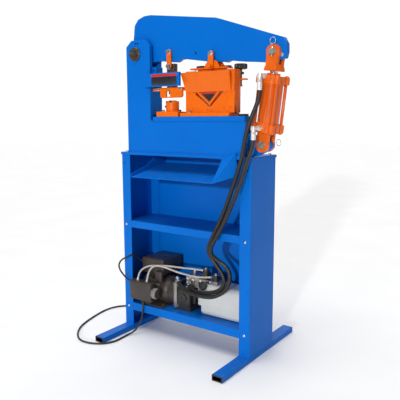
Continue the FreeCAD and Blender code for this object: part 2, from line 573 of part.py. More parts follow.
for gx, gy, gz in ((-262, -112, 262), (-205, -112, 262)):
    ctl = ctl.fuse(rod_z(7.5, 6, gx, gy, gz - 1))
ctl = ctl.fuse(rod_x(7.0, 8, -306, -119, 250))
shape_node("control_box", ctl.removeSplitter())
node("switch_knob", cyl("switch_disc", 25.0, 26.0, -164.7, -112.0, 215.0, "X"))
node("pump_block", xbox("pump_case", -63.7, 10.0, -58.0, 40.0, ZS, 256.0))
node("valve_block", fuse("valve_solid", xbox("valve_case", -30.0, 40.0, -32.0, 25.0, 256.0, 312.0),
                         xbox("valve_arm", 38.0, 144.0, -34.0, 12.0, 287.5, 302.0),
                         cyl("coil_a", 14.0, 52.0, 75.0, -20.0, 300.0), cyl("coil_b", 14.0, 34.0, 130.0, -20.0, 300.0)))
tank = Part.makeBox(256, 120, 146, V(42, -55, ZS + 0.3))
tank = tank.makeFillet(24, tank.Edges)
tank = tank.cut(Part.makeBox(30, 140, 47, V(40, -65, ZS - 3)))
shape_node("reservoir", tank)
capd = V(0, -0.8, 0.6)
tcap = Part.makeCylinder(19, 34, V(85, -60, 281) - capd * 22, capd).cut(tank)
shape_node("tank_cap", max(tcap.Solids, key=lambda s: s.Volume))
elbows = None
for foot_z, ball, end in ((271.7, V(-74, -45, 291), V(-65, -52, 284)), (256.0, V(-12.6, -43, 279.7), V(-4, -50, 275))):
    s = rod_z(8.0, ball.z - foot_z, ball.x, ball.y, foot_z).fuse(rod_z(11.0, 7, ball.x, ball.y, foot_z))
    s = s.fuse(Part.makeSphere(9.4, ball)).fuse(Part.makeCylinder(9.4, (end - ball).Length, ball, end - ball))
    elbows = s if elbows is None else elbows.fuse(s)
shape_node("pump_elbows", elbows)

doc.recompute()

# -------------------------------------------------------------- cords and hoses


def route_tube(label, pts, dia, rmin=3.0):
    """A round tube along straight runs joined by tangent arcs."""
    P = [V(*p) for p in pts]
    runs = [(P[i + 1] - P[i]).Length for i in range(len(P) - 1)]
    edges = []
    cur = P[0]
    radii = []
    for i in range(1, len(P) - 1):
        u = (P[i] - P[i - 1]).normalize()
        w = (P[i + 1] - P[i]).normalize()
        ang = u.getAngle(w)
        tl_ = 0.45 * min(runs[i - 1], runs[i])
        r = tl_ / math.tan(ang / 2)
        radii.append(r)
        a = P[i] - u * tl_
        b = P[i] + w * tl_
        bis = (w - u).normalize()
        ctr = P[i] + bis * (r / math.cos(ang / 2))
        mid = ctr - bis * r
        edges.append(Part.LineSegment(cur, a).toShape())
        edges.append(Part.Arc(a, mid, b).toShape())
        cur = b
    edges.append(Part.LineSegment(cur, P[-1]).toShape())
    path = Part.Wire(edges)
    circ = Part.Wire([Part.Circle(P[0], (P[1] - P[0]).normalize(), dia / 2).toShape()])
    s = path.makePipeShell([circ], True, False)
    want = math.pi * dia * dia / 4 * path.Length
    print("%-14s length %.0f  volume ratio %.4f  least radius %.1f (%.1f diameters)" % (
        label, path.Length, s.Volume / want, min(radii), min(radii) / dia))
    return s


hose_dia, cable_dia, conduit_dia, mains_dia = 18.0, 8.0, 9.0, 8.5
ROUTES = {
    # from the head cap's ferrule down past the shelf to the pump
    "hose_upper": (hose_dia, [
        (405, -136, 1141), (404, -136, 1116), (393, -138, 1080), (374, -142, 1036), (356, -144, 989), (342, -141, 932),
        (332, -138, 882), (312, -138, 825), (283, -135, 744), (235, -131, 631), (191, -126, 552), (158, -115, 498),
        (143, -105, 463), (155, -95, 430), (182, -91, 399), (209, -89, 366), (221, -87, 330), (197, -87, 289),
        (132, -88, 262), (65, -82, 257), (17, -67, 263.5), (-4, -50, 275)]),
    # from the base cap's ferrule, beside the other one
    "hose_lower": (hose_dia, [
        (381, -137, 950), (378, -137, 925), (367, -138, 896), (349, -140, 850), (333, -142, 796), (316, -144, 747),
        (297, -146, 701), (269, -144, 643), (219, -140, 552), (177, -137, 490), (170, -118, 450), (202, -101, 422),
        (231, -95, 406), (250, -91, 373), (244, -94, 320), (215, -98, 284), (168, -107, 256), (92, -103, 248),
        (14, -92, 250), (-42, -70, 266), (-65, -52, 284)]),
    "conduit_left": (conduit_dia, [
        (-262, -112, 267), (-261, -110, 288), (-246, -101, 318), (-212, -86, 336), (-158, -72, 342), (-93, -59, 345),
        (-30, -46, 344), (20, -35, 345), (66, -23, 343)]),
    "conduit_right": (conduit_dia, [
        (-205, -112, 267), (-201, -112, 296), (-192, -101, 330), (-165, -87, 346), (-121, -73, 339), (-70, -58, 322),
        (-17, -46, 314), (35, -45, 312), (85, -41, 317), (121, -26, 322)]),
    "cable_loop": (cable_dia, [
        (-281, -40, 332), (-296, -46, 338), (-304, -62, 356), (-297, -86, 377), (-296, -114, 385), (-308, -139, 377),
        (-334, -152, 360), (-350, -153, 335), (-347, -149, 309), (-334, -141, 287), (-322, -131, 266), (-306, -121, 252)]),
}
mains = [
    (-232, -112, 140), (-233, -113, 112), (-238, -119, 74), (-250, -131, 36), (-264, -153, 10), (-276, -186, 4.4),
    (-272, -232, 4.4), (-272, -281, 4.4), (-300, -326, 4.4), (-352, -354, 4.4), (-410, -358, 4.4), (-460, -332, 4.4),
    (-506, -288, 4.4), (-545, -232, 4.4), (-572, -158, 4.4), (-594, -76, 4.4), (-608, 8, 4.4), (-594, 72, 4.4),
    (-553, 118, 4.4), (-503, 148, 4.4), (-450, 167, 14), (-393, 177, 35), (-331, 182, 41), (-269, 182, 35),
    (-217, 172, 14), (-178, 154, 4.6), (-140, 142.5, 4.4)]
coil_x, coil_y, coil_in, coil_out, coil_top = -140.0, 190.0, 42.5, 60.0, 17.2
coil = Part.makeCylinder(coil_out, coil_top - 0.1, V(coil_x, coil_y, 0.1)).cut(Part.makeCylinder(coil_in, 30, V(coil_x, coil_y, -5)))
coil = coil.makeFillet(3.5, [e for e in coil.Edges if e.Curve.TypeId == "Part::GeomCircle"])
shape_node("power_cord_coil", coil)
plug = Part.makeBox(40, 27, 21.9, V(-92, 122.5, 0.1))
plug = plug.makeFillet(4, plug.Edges)
plug = plug.fuse(Part.makeCone(5, 8, 26, V(-118, 136, 11.5), V(1, 0, 0)))
for py in (129.7, 142.3):
    plug = plug.fuse(Part.makeBox(18, 1.6, 6.4, V(-53, py - 0.8, 8)))
plug = plug.fuse(Part.makeCylinder(2.4, 20, V(-53, 136, 16.4), V(1, 0, 0)))
shape_node("power_plug", plug.cut(coil).removeSplitter())
solid_of = {k: NODES[k].Shape.copy() for k in ("control_box", "valve_block", "capacitor_box", "pump_elbows", "cylinder_fittings")}
shift = V(-A["stand_x"], 0, 0)
for s in solid_of.values():
    s.translate(shift)
for label, (dia, pts) in ROUTES.items():
    t = route_tube(label, pts, dia)
    for s in solid_of.values():
        if t.distToShape(s)[0] < 0.01:
            t = t.cut(s)
    if label in ("hose_upper", "hose_lower"):
        x, y, z = pts[0]
        t = t.cut(Part.makeCylinder(14, 12, V(x, y, z - 1.0)))
    shape_node(label, max(t.Solids, key=lambda k: k.Volume))
t = route_tube("power_cord", mains, mains_dia).cut(coil).cut(solid_of["control_box"])
shape_node("power_cord", max(t.Solids, key=lambda k: k.Volume))
doc.recompute()

# --------------------------------------------------------------------- output
bad = [o.Label for o in doc.Objects if "Invalid" in o.State or "Error" in o.State]
if bad:
    raise RuntimeError("failed objects: " + ", ".join(bad))
for label, obj in NODES.items():
    s = obj.Shape
    if s.isNull() or not s.isValid() or not s.Solids:
        raise RuntimeError("bad shape: " + label)
os.makedirs("parts", exist_ok=True)
for f in os.listdir("parts"):
    if f.endswith(".step") and f[:-5] not in NODES:
        os.remove(os.path.join("parts", f))
lo = [1e9] * 3
hi = [-1e9] * 3
for label, obj in NODES.items():
    obj.Shape.exportStep("parts/%s.step" % label)
    if label in ("power_cord", "power_cord_coil", "power_plug"):
        continue
    b = obj.Shape.BoundBox
    for i, (p, r) in enumerate(((b.XMin, b.XMax), (b.YMin, b.YMax), (b.ZMin, b.ZMax))):
        lo[i] = min(lo[i], p)
        hi[i] = max(hi[i], r)
print(len(NODES), "nodes; box", [round(v, 2) for v in lo], [round(v, 2) for v in hi], "x middle", round((lo[0] + hi[0]) / 2, 3))
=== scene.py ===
import bpy
import bmesh
import math
from mathutils import Matrix, Vector


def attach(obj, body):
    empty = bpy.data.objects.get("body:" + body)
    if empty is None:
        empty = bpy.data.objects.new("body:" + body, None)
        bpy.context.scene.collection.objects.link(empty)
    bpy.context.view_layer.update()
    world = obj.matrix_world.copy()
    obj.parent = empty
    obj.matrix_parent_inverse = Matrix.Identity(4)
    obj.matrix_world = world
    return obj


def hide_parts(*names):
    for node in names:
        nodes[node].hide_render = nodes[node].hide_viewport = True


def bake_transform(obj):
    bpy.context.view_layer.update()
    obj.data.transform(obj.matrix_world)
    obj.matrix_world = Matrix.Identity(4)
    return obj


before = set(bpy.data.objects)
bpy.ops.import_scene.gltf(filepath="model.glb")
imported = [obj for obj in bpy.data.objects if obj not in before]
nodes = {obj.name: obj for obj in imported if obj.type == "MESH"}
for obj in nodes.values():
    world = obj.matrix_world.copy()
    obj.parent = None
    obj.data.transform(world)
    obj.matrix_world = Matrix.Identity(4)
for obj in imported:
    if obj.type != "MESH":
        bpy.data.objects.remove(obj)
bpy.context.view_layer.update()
scene = bpy.context.scene
SX = -62.45                      # middle of the stand in the part's frame, mm


def P(x, y, z):
    """A point given in millimetres from the middle of the stand."""
    return Vector(((x + SX) / 1000, y / 1000, z / 1000))


# --------------------------------------------------------------------- camera
cam_data = bpy.data.cameras.new("camera")
cam = bpy.data.objects.new("camera", cam_data)
scene.collection.objects.link(cam)
cam_data.sensor_width = 36.0
cam_data.lens = 47.62
cam_data.clip_start, cam_data.clip_end = 0.05, 60
yaw, pitch, roll = math.radians(35.4), math.radians(8.68), math.radians(-0.17)
fw = Vector((-math.sin(yaw) * math.cos(pitch), math.cos(yaw) * math.cos(pitch), -math.sin(pitch)))
rt = Vector((math.cos(yaw), math.sin(yaw), 0))
up = rt.cross(fw)
rt2 = rt * math.cos(roll) + up * math.sin(roll)
up2 = -rt * math.sin(roll) + up * math.cos(roll)
m = Matrix((rt2, up2, -fw)).transposed().to_4x4()
m.translation = P(1416.3, -1955.0, 1031.0)
cam.matrix_world = m
scene.camera = cam

# --------------------------------------------------------------------- lights
# a studio sweep: white behind the machine, dimmer in front so that the gloss stays deep
world = bpy.data.worlds.new("studio")
scene.world = world
world.use_nodes = True
wt = world.node_tree
bg = wt.nodes["Background"]
wc = wt.nodes.new("ShaderNodeTexCoord")
wd = wt.nodes.new("ShaderNodeVectorMath")
wd.operation = "DOT_PRODUCT"
wd.inputs[1].default_value = (-0.579, 0.815, 0.0)
wt.links.new(wc.outputs["Generated"], wd.inputs[0])
wr = wt.nodes.new("ShaderNodeMapRange")
wr.inputs["From Min"].default_value = 0.45
wr.inputs["From Max"].default_value = 0.88
wr.inputs["To Min"].default_value = 0.21
wr.inputs["To Max"].default_value = 1.04
wt.links.new(wd.outputs["Value"], wr.inputs["Value"])
bg.inputs["Color"].default_value = (1, 1, 1, 1)
wt.links.new(wr.outputs[0], bg.inputs["Strength"])
scene.view_settings.view_transform = "Standard"


def sun(name, towards, angle, strength):
    d = bpy.data.lights.new(name, "SUN")
    d.angle = math.radians(angle)
    d.energy = strength
    o = bpy.data.objects.new(name, d)
    scene.collection.objects.link(o)
    o.rotation_mode = "QUATERNION"
    o.rotation_quaternion = Vector(towards).to_track_quat("-Z", "Y")
    return o


sun("key", (-0.27, 1.0, -0.20), 3, 1.74)
sun("top", (0.10, 0.18, -1.0), 50, 2.2)



def strip(name, at, to, w, h, power):
    d = bpy.data.lights.new(name, "AREA")
    d.shape = "RECTANGLE"
    d.size, d.size_y = w, h
    d.energy = power
    o = bpy.data.objects.new(name, d)
    scene.collection.objects.link(o)
    o.location = at
    o.rotation_mode = "QUATERNION"
    o.rotation_quaternion = (Vector(to) - Vector(at)).to_track_quat("-Z", "Y")
    return o


strip("strip", (-0.55, -3.0, 1.1), (0.33, 0.0, 1.05), 0.10, 2.4, 5)

# ------------------------------------------------------------------ materials
MATS = {}


def new_mat(name):
    mt = bpy.data.materials.new(name)
    mt.use_nodes = True
    nt = mt.node_tree
    nt.nodes.clear()
    out = nt.nodes.new("ShaderNodeOutputMaterial")
    bs = nt.nodes.new("ShaderNodeBsdfPrincipled")
    nt.links.new(bs.outputs[0], out.inputs[0])
    MATS[name] = mt
    return mt, nt, bs


def coords(nt, scale=(1, 1, 1)):
    tc = nt.nodes.new("ShaderNodeTexCoord")
    mp = nt.nodes.new("ShaderNodeMapping")
    mp.inputs["Scale"].default_value = scale
    nt.links.new(tc.outputs["Object"], mp.inputs["Vector"])
    return mp.outputs[0]


def noise(nt, vec, scale, detail=3.0, rough=0.5):
    n = nt.nodes.new("ShaderNodeTexNoise")
    n.inputs["Scale"].default_value = scale
    n.inputs["Detail"].default_value = detail
    n.inputs["Roughness"].default_value = rough
    nt.links.new(vec, n.inputs["Vector"])
    return n.outputs["Fac"]


def rng(nt, fac, lo, hi, a=0.3, b=0.7):
    r = nt.nodes.new("ShaderNodeMapRange")
    r.inputs["From Min"].default_value = a
    r.inputs["From Max"].default_value = b
    r.inputs["To Min"].default_value = lo
    r.inputs["To Max"].default_value = hi
    nt.links.new(fac, r.inputs["Value"])
    return r.outputs[0]


def mix(nt, fac, a, b, mode="MIX"):
    x = nt.nodes.new("ShaderNodeMix")
    x.data_type = "RGBA"
    x.blend_type = mode
    for i, v in ((0, fac), (6, a), (7, b)):
        if hasattr(v, "is_output"):
            nt.links.new(v, x.inputs[i])
        elif i == 0:
            x.inputs[i].default_value = v
        else:
            x.inputs[i].default_value = (*v, 1)
    return x.outputs[2]


def bump(nt, bs, height, strength, dist=0.0004, after=None):
    b = nt.nodes.new("ShaderNodeBump")
    b.inputs["Strength"].default_value = strength
    b.inputs["Distance"].default_value = dist
    nt.links.new(height, b.inputs["Height"])
    if after is not None:
        nt.links.new(after, b.inputs["Normal"])
    nt.links.new(b.outputs[0], bs.inputs["Normal"])
    return b.outputs[0]


def edge_mask(nt, radius=0.0016):
    """1 along sharp edges, 0 on flats."""
    bv = nt.nodes.new("ShaderNodeBevel")
    bv.samples = 4
    bv.inputs["Radius"].default_value = radius
    ge = nt.nodes.new("ShaderNodeNewGeometry")
    dt = nt.nodes.new("ShaderNodeVectorMath")
    dt.operation = "DOT_PRODUCT"
    nt.links.new(bv.outputs[0], dt.inputs[0])
    nt.links.new(ge.outputs["Normal"], dt.inputs[1])
    return rng(nt, dt.outputs["Value"], 1.0, 0.0, 0.80, 0.97)


def finish_mat(name, colour, colour2, rough, metallic=0.0, coat=0.0, coat_rough=0.08, spec=0.5, rvar=0.06,
               scale=5.0, speck=0.0, speck_col=(0, 0, 0), grain=900.0, grain_amt=0.08, stretch=None,
               wear_and_highlight=None, wear_and_highlight_amt=0.0, dust=0.0, ior=1.5):
    mt, nt, bs = new_mat(name)
    v = coords(nt)
    big = noise(nt, v, scale, 4, 0.55)
    col = mix(nt, rng(nt, big, 0, 1), colour, colour2)
    if speck:
        fine = noise(nt, v, 260, 2)
        col = mix(nt, rng(nt, fine, 0, speck, 0.56, 0.70), col, speck_col)
    if dust:
        sep = nt.nodes.new("ShaderNodeSeparateXYZ")
        ge = nt.nodes.new("ShaderNodeNewGeometry")
        nt.links.new(ge.outputs["Normal"], sep.inputs[0])
        upw = rng(nt, sep.outputs[2], 0, 1, 0.5, 1.0)
        mu = nt.nodes.new("ShaderNodeMath")
        mu.operation = "MULTIPLY"
        nt.links.new(upw, mu.inputs[0])
        nt.links.new(rng(nt, noise(nt, v, 38, 5, 0.65), 0, dust, 0.42, 0.75), mu.inputs[1])
        col = mix(nt, mu.outputs[0], col, (0.45, 0.43, 0.40))
    # edges take a lighter colour under a noise mask: partly wear, partly a painted highlight along the edges
    if wear_and_highlight is not None:
        em = edge_mask(nt)
        mu = nt.nodes.new("ShaderNodeMath")
        mu.operation = "MULTIPLY"
        nt.links.new(em, mu.inputs[0])
        nt.links.new(rng(nt, noise(nt, v, 55, 4, 0.7), 0.15, wear_and_highlight_amt, 0.40, 0.66), mu.inputs[1])
        col = mix(nt, mu.outputs[0], col, wear_and_highlight)
    nt.links.new(col, bs.inputs["Base Color"])
    nt.links.new(rng(nt, noise(nt, v, scale * 3.1, 4, 0.6), rough - rvar, rough + rvar), bs.inputs["Roughness"])
    bs.inputs["Metallic"].default_value = metallic
    bs.inputs["Specular IOR Level"].default_value = spec
    bs.inputs["IOR"].default_value = ior
    bs.inputs["Coat Weight"].default_value = coat
    bs.inputs["Coat Roughness"].default_value = coat_rough
    gv = coords(nt, stretch) if stretch else v
    bump(nt, bs, noise(nt, gv, grain, 2), grain_amt)
    return mt


# powder coat: a deep gloss with orange peel, a little paler along the edges, where a painted highlight lies
finish_mat("blue_powder", (0.0, 0.122, 0.50), (0.0, 0.134, 0.55), 0.36, rvar=0.05, spec=0.16, ior=1.36,
           scale=3.2, grain=620, grain_amt=0.10, wear_and_highlight=(0.02, 0.22, 0.74), wear_and_highlight_amt=0.7, dust=0.05)
finish_mat("orange_gloss", (0.74, 0.122, 0.0), (0.80, 0.140, 0.0), 0.30, rvar=0.06, spec=0.35, ior=1.42,
           scale=7.0, grain=520, grain_amt=0.12, wear_and_highlight=(0.95, 0.26, 0.02), wear_and_highlight_amt=0.7, dust=0.05)
finish_mat("orange_cast", (0.66, 0.098, 0.0), (0.76, 0.124, 0.0), 0.22, rvar=0.07, spec=0.45, ior=1.45,
           scale=11.0, grain=240, grain_amt=0.42, wear_and_highlight=(0.95, 0.25, 0.02), wear_and_highlight_amt=0.6)
finish_mat("barrel_gloss", (0.60, 0.085, 0.0), (0.70, 0.108, 0.0), 0.17, rvar=0.04, spec=0.5, ior=1.5,
           scale=7.0, grain=420, grain_amt=0.12, stretch=(1, 1, 0.3), wear_and_highlight=(0.95, 0.26, 0.02), wear_and_highlight_amt=0.4)
finish_mat("black_moulded", (0.012, 0.012, 0.013), (0.022, 0.022, 0.023), 0.42, rvar=0.08, scale=20, grain=700,
           grain_amt=0.25, wear_and_highlight=(0.06, 0.06, 0.06), wear_and_highlight_amt=0.6)
finish_mat("black_rubber", (0.010, 0.010, 0.010), (0.018, 0.017, 0.016), 0.58, rvar=0.08, scale=30, grain=500, grain_amt=0.3)
finish_mat("dark_steel", (0.10, 0.085, 0.072), (0.17, 0.145, 0.12), 0.36, metallic=0.9, rvar=0.10, scale=14, grain=160,
           grain_amt=0.20, stretch=(1, 1, 0.06), wear_and_highlight=(0.42, 0.40, 0.37), wear_and_highlight_amt=0.9)
finish_mat("zinc_plate", (0.62, 0.62, 0.62), (0.76, 0.75, 0.73), 0.24, metallic=1.0, rvar=0.09, scale=45, grain=400,
           grain_amt=0.10, wear_and_highlight=(0.85, 0.85, 0.84), wear_and_highlight_amt=0.5)
finish_mat("ferrule_white", (0.66, 0.66, 0.65), (0.78, 0.78, 0.77), 0.34, metallic=0.55, rvar=0.08, scale=40, grain=400,
           grain_amt=0.12, wear_and_highlight=(0.86, 0.86, 0.85), wear_and_highlight_amt=0.5)
finish_mat("chrome_rod", (0.72, 0.72, 0.73), (0.78, 0.78, 0.79), 0.10, metallic=1.0, rvar=0.03, scale=9, grain=900,
           grain_amt=0.03, stretch=(1, 1, 8))
finish_mat("motor_brown", (0.034, 0.026, 0.022), (0.046, 0.036, 0.031), 0.36, rvar=0.07,
           scale=9, grain=430, grain_amt=0.16, wear_and_highlight=(0.14, 0.11, 0.09), wear_and_highlight_amt=0.7, dust=0.16)
finish_mat("box_brown", (0.032, 0.025, 0.021), (0.044, 0.034, 0.029), 0.40, rvar=0.06, scale=8, grain=560,
           grain_amt=0.22, wear_and_highlight=(0.16, 0.13, 0.11), wear_and_highlight_amt=0.7, dust=0.12)
finish_mat("cast_alloy", (0.30, 0.28, 0.26), (0.42, 0.40, 0.37), 0.42, metallic=0.85, rvar=0.09, scale=28, grain=330,
           grain_amt=0.45, wear_and_highlight=(0.62, 0.60, 0.57), wear_and_highlight_amt=0.7)
finish_mat("pump_black", (0.014, 0.013, 0.013), (0.030, 0.027, 0.025), 0.38, rvar=0.1, scale=25, grain=300, grain_amt=0.45,
           wear_and_highlight=(0.10, 0.09, 0.08), wear_and_highlight_amt=0.7, dust=0.1)
finish_mat("brass", (0.62, 0.42, 0.16), (0.72, 0.52, 0.22), 0.28, metallic=1.0, rvar=0.08, scale=40, grain=300, grain_amt=0.15)
finish_mat("grey_conduit", (0.37, 0.35, 0.32), (0.46, 0.44, 0.41), 0.38, rvar=0.06, scale=30, grain=420, grain_amt=0.12)
finish_mat("knob_grey", (0.20, 0.19, 0.18), (0.27, 0.26, 0.25), 0.40, metallic=0.3, rvar=0.08, scale=30, grain=420, grain_amt=0.25)
finish_mat("plate_dark", (0.010, 0.013, 0.020), (0.016, 0.019, 0.028), 0.30, rvar=0.05, scale=12, grain=700, grain_amt=0.06)
finish_mat("plate_red", (0.46, 0.018, 0.010), (0.52, 0.026, 0.014), 0.32, rvar=0.05, scale=12, grain=700, grain_amt=0.06)
# near-black for painted shade: the dark inside of drilled holes
finish_mat("hole_dark", (0.002, 0.003, 0.006), (0.004, 0.005, 0.009), 0.7, rvar=0.05)
finish_mat("nameplate", (0.48, 0.48, 0.47), (0.58, 0.57, 0.55), 0.33, metallic=0.9, rvar=0.06, scale=20, grain=240,
           grain_amt=0.12, stretch=(0.05, 1, 1))

# milky tank plastic
mt, nt, bs = new_mat("tank_milk")
v = coords(nt)
nt.links.new(mix(nt, rng(nt, noise(nt, v, 6, 4), 0, 1), (0.52, 0.54, 0.54), (0.61, 0.63, 0.625)), bs.inputs["Base Color"])
nt.links.new(rng(nt, noise(nt, v, 40, 3), 0.30, 0.42), bs.inputs["Roughness"])
bs.inputs["Subsurface Weight"].default_value = 0.18
bs.inputs["Subsurface Radius"].default_value = (0.012, 0.012, 0.011)
bump(nt, bs, noise(nt, v, 260, 2), 0.16)


def hose_mat(name, stripe):
    """Black rubber cover with a wrapped-cloth print, and a row of yellow dashes if stripe."""
    mt, nt, bs = new_mat(name)
    v = coords(nt)
    al = nt.nodes.new("ShaderNodeAttribute")
    al.attribute_name = "along"
    ar = nt.nodes.new("ShaderNodeAttribute")
    ar.attribute_name = "around"
    col = mix(nt, rng(nt, noise(nt, v, 35, 4), 0, 1), (0.006, 0.005, 0.0045), (0.014, 0.011, 0.009))

    def m2(op, a, b):
        n = nt.nodes.new("ShaderNodeMath")
        n.operation = op
        for i, q in enumerate((a, b)):
            if hasattr(q, "is_output"):
                nt.links.new(q, n.inputs[i])
            else:
                n.inputs[i].default_value = q
        return n.outputs[0]

    if stripe:
        # dashes 14 mm long every 22 mm, broken up by noise, on a band 2 mm wide
        ph = m2("FRACT", m2("MULTIPLY", al.outputs["Fac"], 1 / 0.022), 0)
        dash = m2("LESS_THAN", ph, 0.62)
        band = m2("LESS_THAN", m2("ABSOLUTE", m2("SUBTRACT", ar.outputs["Fac"], 0.5), 0), 0.045)
        worn = rng(nt, noise(nt, v, 420, 3), 0.25, 1.0, 0.40, 0.55)
        fac = m2("MULTIPLY", m2("MULTIPLY", dash, band), worn)
        col = mix(nt, fac, col, (0.62, 0.45, 0.035))
    nt.links.new(col, bs.inputs["Base Color"])
    nt.links.new(rng(nt, noise(nt, v, 60, 3), 0.38, 0.55), bs.inputs["Roughness"])
    wv = m2("SINE", m2("ADD", m2("MULTIPLY", al.outputs["Fac"], 2600.0), m2("MULTIPLY", ar.outputs["Fac"], 12.566)), 0)
    wv2 = m2("ADD", m2("MULTIPLY", wv, 0.5), noise(nt, v, 700, 2))
    bump(nt, bs, wv2, 0.22, 0.0003)
    return mt


hose_mat("hose_plain", False)
hose_mat("hose_dashed", True)


# -------------------------------------------------------------- mesh building
def basis(zdir, xdir=None):
    z = Vector(zdir).normalized()
    x = Vector(xdir) if xdir is not None else (Vector((1, 0, 0)) if abs(z.x) < 0.9 else Vector((0, 1, 0)))
    x = (x - z * x.dot(z)).normalized()
    y = z.cross(x)
    return x, y, z


class Build:
    """Collects shapes, in millimetres from the middle of the stand, into one mesh."""

    def __init__(self):
        self.v, self.f, self.mi, self.sm = [], [], [], []
        self.mat = 0

    def add(self, verts, faces):
        k = len(self.v)
        self.v += [tuple(p) for p in verts]
        self.f += [tuple(i + k for i in fc) for fc in faces]
        self.mi += [self.mat] * len(faces)

    def lathe(self, at, zdir, prof, seg=24, xdir=None, ripple=None, caps=True):
        """prof is [(height, radius)] up the axis; ripple is (count, depth) on radii over 0."""
        x, y, z = basis(zdir, xdir)
        o = Vector(at)
        verts, faces = [], []
        for h, r in prof:
            for i in range(seg):
                t = 2 * math.pi * i / seg
                rr = r
                if ripple and r > ripple[2]:
                    rr = r - ripple[1] * (0.5 + 0.5 * math.cos(ripple[0] * t)) ** 2
                verts.append(o + x * (rr * math.cos(t)) + y * (rr * math.sin(t)) + z * h)
        for j in range(len(prof) - 1):
            for i in range(seg):
                a, b = j * seg + i, j * seg + (i + 1) % seg
                faces.append((a, b, b + seg, a + seg))
        if caps:
            faces.append(tuple(range(seg - 1, -1, -1)))
            faces.append(tuple(range((len(prof) - 1) * seg, len(prof) * seg)))
        self.add(verts, faces)

    def hexhead(self, at, zdir, r, h, washer=0.0, xdir=None):
        """A hexagon head r over its corners, with a turned chamfer and a washer."""
        z = Vector(zdir).normalized()
        o = Vector(at)
        if washer:
            self.lathe(o, z, [(0, r * 1.28), (washer * 0.8, r * 1.28), (washer, r * 1.24)], 28)
            o = o + z * washer
        x, y, z = basis(z, xdir)
        verts, faces = [], []
        rings = [(0, 1.0, False), (h * 0.78, 1.0, False), (h, 0.86, True)]
        seg = 24
        for hh, k, rnd in rings:
            for i in range(seg):
                t = 2 * math.pi * i / seg
                s = (t % (math.pi / 3)) - math.pi / 6
                hexr = r * math.cos(math.pi / 6) / math.cos(s)
                rr = min(hexr, r * 0.86 * 1.0) if rnd else hexr
                verts.append(o + x * (rr * math.cos(t)) + y * (rr * math.sin(t)) + z * hh)
        for j in range(2):
            for i in range(seg):
                a, b = j * seg + i, j * seg + (i + 1) % seg
                faces.append((a, b, b + seg, a + seg))
        faces.append(tuple(range(seg - 1, -1, -1)))
        faces.append(tuple(range(2 * seg, 3 * seg)))
        self.add(verts, faces)

    def socket(self, at, zdir, r, h):
        """A socket head: a ring with a round recess standing in for the hexagon."""
        self.lathe(at, zdir, [(0, r), (h * 0.75, r), (h, r * 0.88), (h, r * 0.50), (h * 0.3, r * 0.46)], 24)

    def button(self, at, zdir, r, h):
        self.lathe(at, zdir, [(0, r), (h * 0.35, r * 0.97), (h * 0.7, r * 0.80), (h * 0.95, r * 0.52), (h, r * 0.30),
                              (h * 0.55, r * 0.27)], 24)

    def bar(self, x0, x1, y0, y1, z0, z1, bev=1.0):
        """A box with every edge bevelled."""
        bm = bmesh.new()
        bmesh.ops.create_cube(bm, size=1)
        for q in bm.verts:
            q.co = Vector((x0 + (q.co.x + 0.5) * (x1 - x0), y0 + (q.co.y + 0.5) * (y1 - y0), z0 + (q.co.z + 0.5) * (z1 - z0)))
        if bev:
            bmesh.ops.bevel(bm, geom=bm.edges[:], offset=bev, segments=4 if bev > 3 else 2, profile=0.5, affect="EDGES")
        bm.verts.index_update()
        self.add([q.co.copy() for q in bm.verts], [tuple(q.index for q in fc.verts) for fc in bm.faces])
        bm.free()

    def prism(self, pts, off):
        """A flat polygon (points in order) thickened by the vector off."""
        n = len(pts)
        o = Vector(off)
        a = [Vector(p) for p in pts]
        nrm = sum(((a[i] - a[0]).cross(a[(i + 1) % n] - a[0]) for i in range(1, n)), Vector())
        if nrm.dot(o) < 0:
            a.reverse()
        verts = a + [p + o for p in a]
        faces = [tuple(range(n - 1, -1, -1)), tuple(range(n, 2 * n))]
        faces += [(i, (i + 1) % n, (i + 1) % n + n, i + n) for i in range(n)]
        self.add(verts, faces)

    def ring(self, at, zdir, R, r, seg=48, sides=12, a0=0.0, a1=360.0, xdir=None):
        x, y, z = basis(zdir, xdir)
        o = Vector(at)
        full = abs(a1 - a0) >= 359.9
        n = seg if full else seg + 1
        verts, faces = [], []
        for i in range(n):
            t = math.radians(a0 + (a1 - a0) * i / seg)
            c = x * math.cos(t) + y * math.sin(t)
            for j in range(sides):
                s = 2 * math.pi * j / sides
                verts.append(o + c * (R + r * math.cos(s)) + z * (r * math.sin(s)))
        for i in range(seg):
            i2 = (i + 1) % n
            for j in range(sides):
                j2 = (j + 1) % sides
                faces.append((i * sides + j, i2 * sides + j, i2 * sides + j2, i * sides + j2))
        if not full:
            faces.append(tuple(range(sides)))
            faces.append(tuple(seg * sides + j for j in range(sides - 1, -1, -1)))
        self.add(verts, faces)

    def sweep(self, path, radius, sides=16, attrs=None, ridges=None, twist=0.0):
        """A tube along points; radius is a number or a function of the length so far."""
        pts = [Vector(p) for p in path]
        n = len(pts)
        tang = [(pts[min(i + 1, n - 1)] - pts[max(i - 1, 0)]).normalized() for i in range(n)]
        x = basis(tang[0])[0]
        length = 0.0
        verts, faces, alo, aro = [], [], [], []
        for i in range(n):
            if i:
                length += (pts[i] - pts[i - 1]).length
                q = tang[i - 1].rotation_difference(tang[i])
                x = q @ x
            x = (x - tang[i] * x.dot(tang[i])).normalized()
            y = tang[i].cross(x)
            r = radius(length) if callable(radius) else radius
            for j in range(sides):
                t = 2 * math.pi * j / sides + twist * length
                verts.append(pts[i] + x * (r * math.cos(t)) + y * (r * math.sin(t)))
                alo.append(length / 1000)
                aro.append(j / sides)
        for i in range(n - 1):
            for j in range(sides):
                j2 = (j + 1) % sides
                faces.append((i * sides + j, i * sides + j2, (i + 1) * sides + j2, (i + 1) * sides + j))
        faces.append(tuple(range(sides - 1, -1, -1)))
        faces.append(tuple((n - 1) * sides + j for j in range(sides)))
        self.add(verts, faces)
        if attrs is not None:
            attrs["along"] = alo
            attrs["around"] = aro

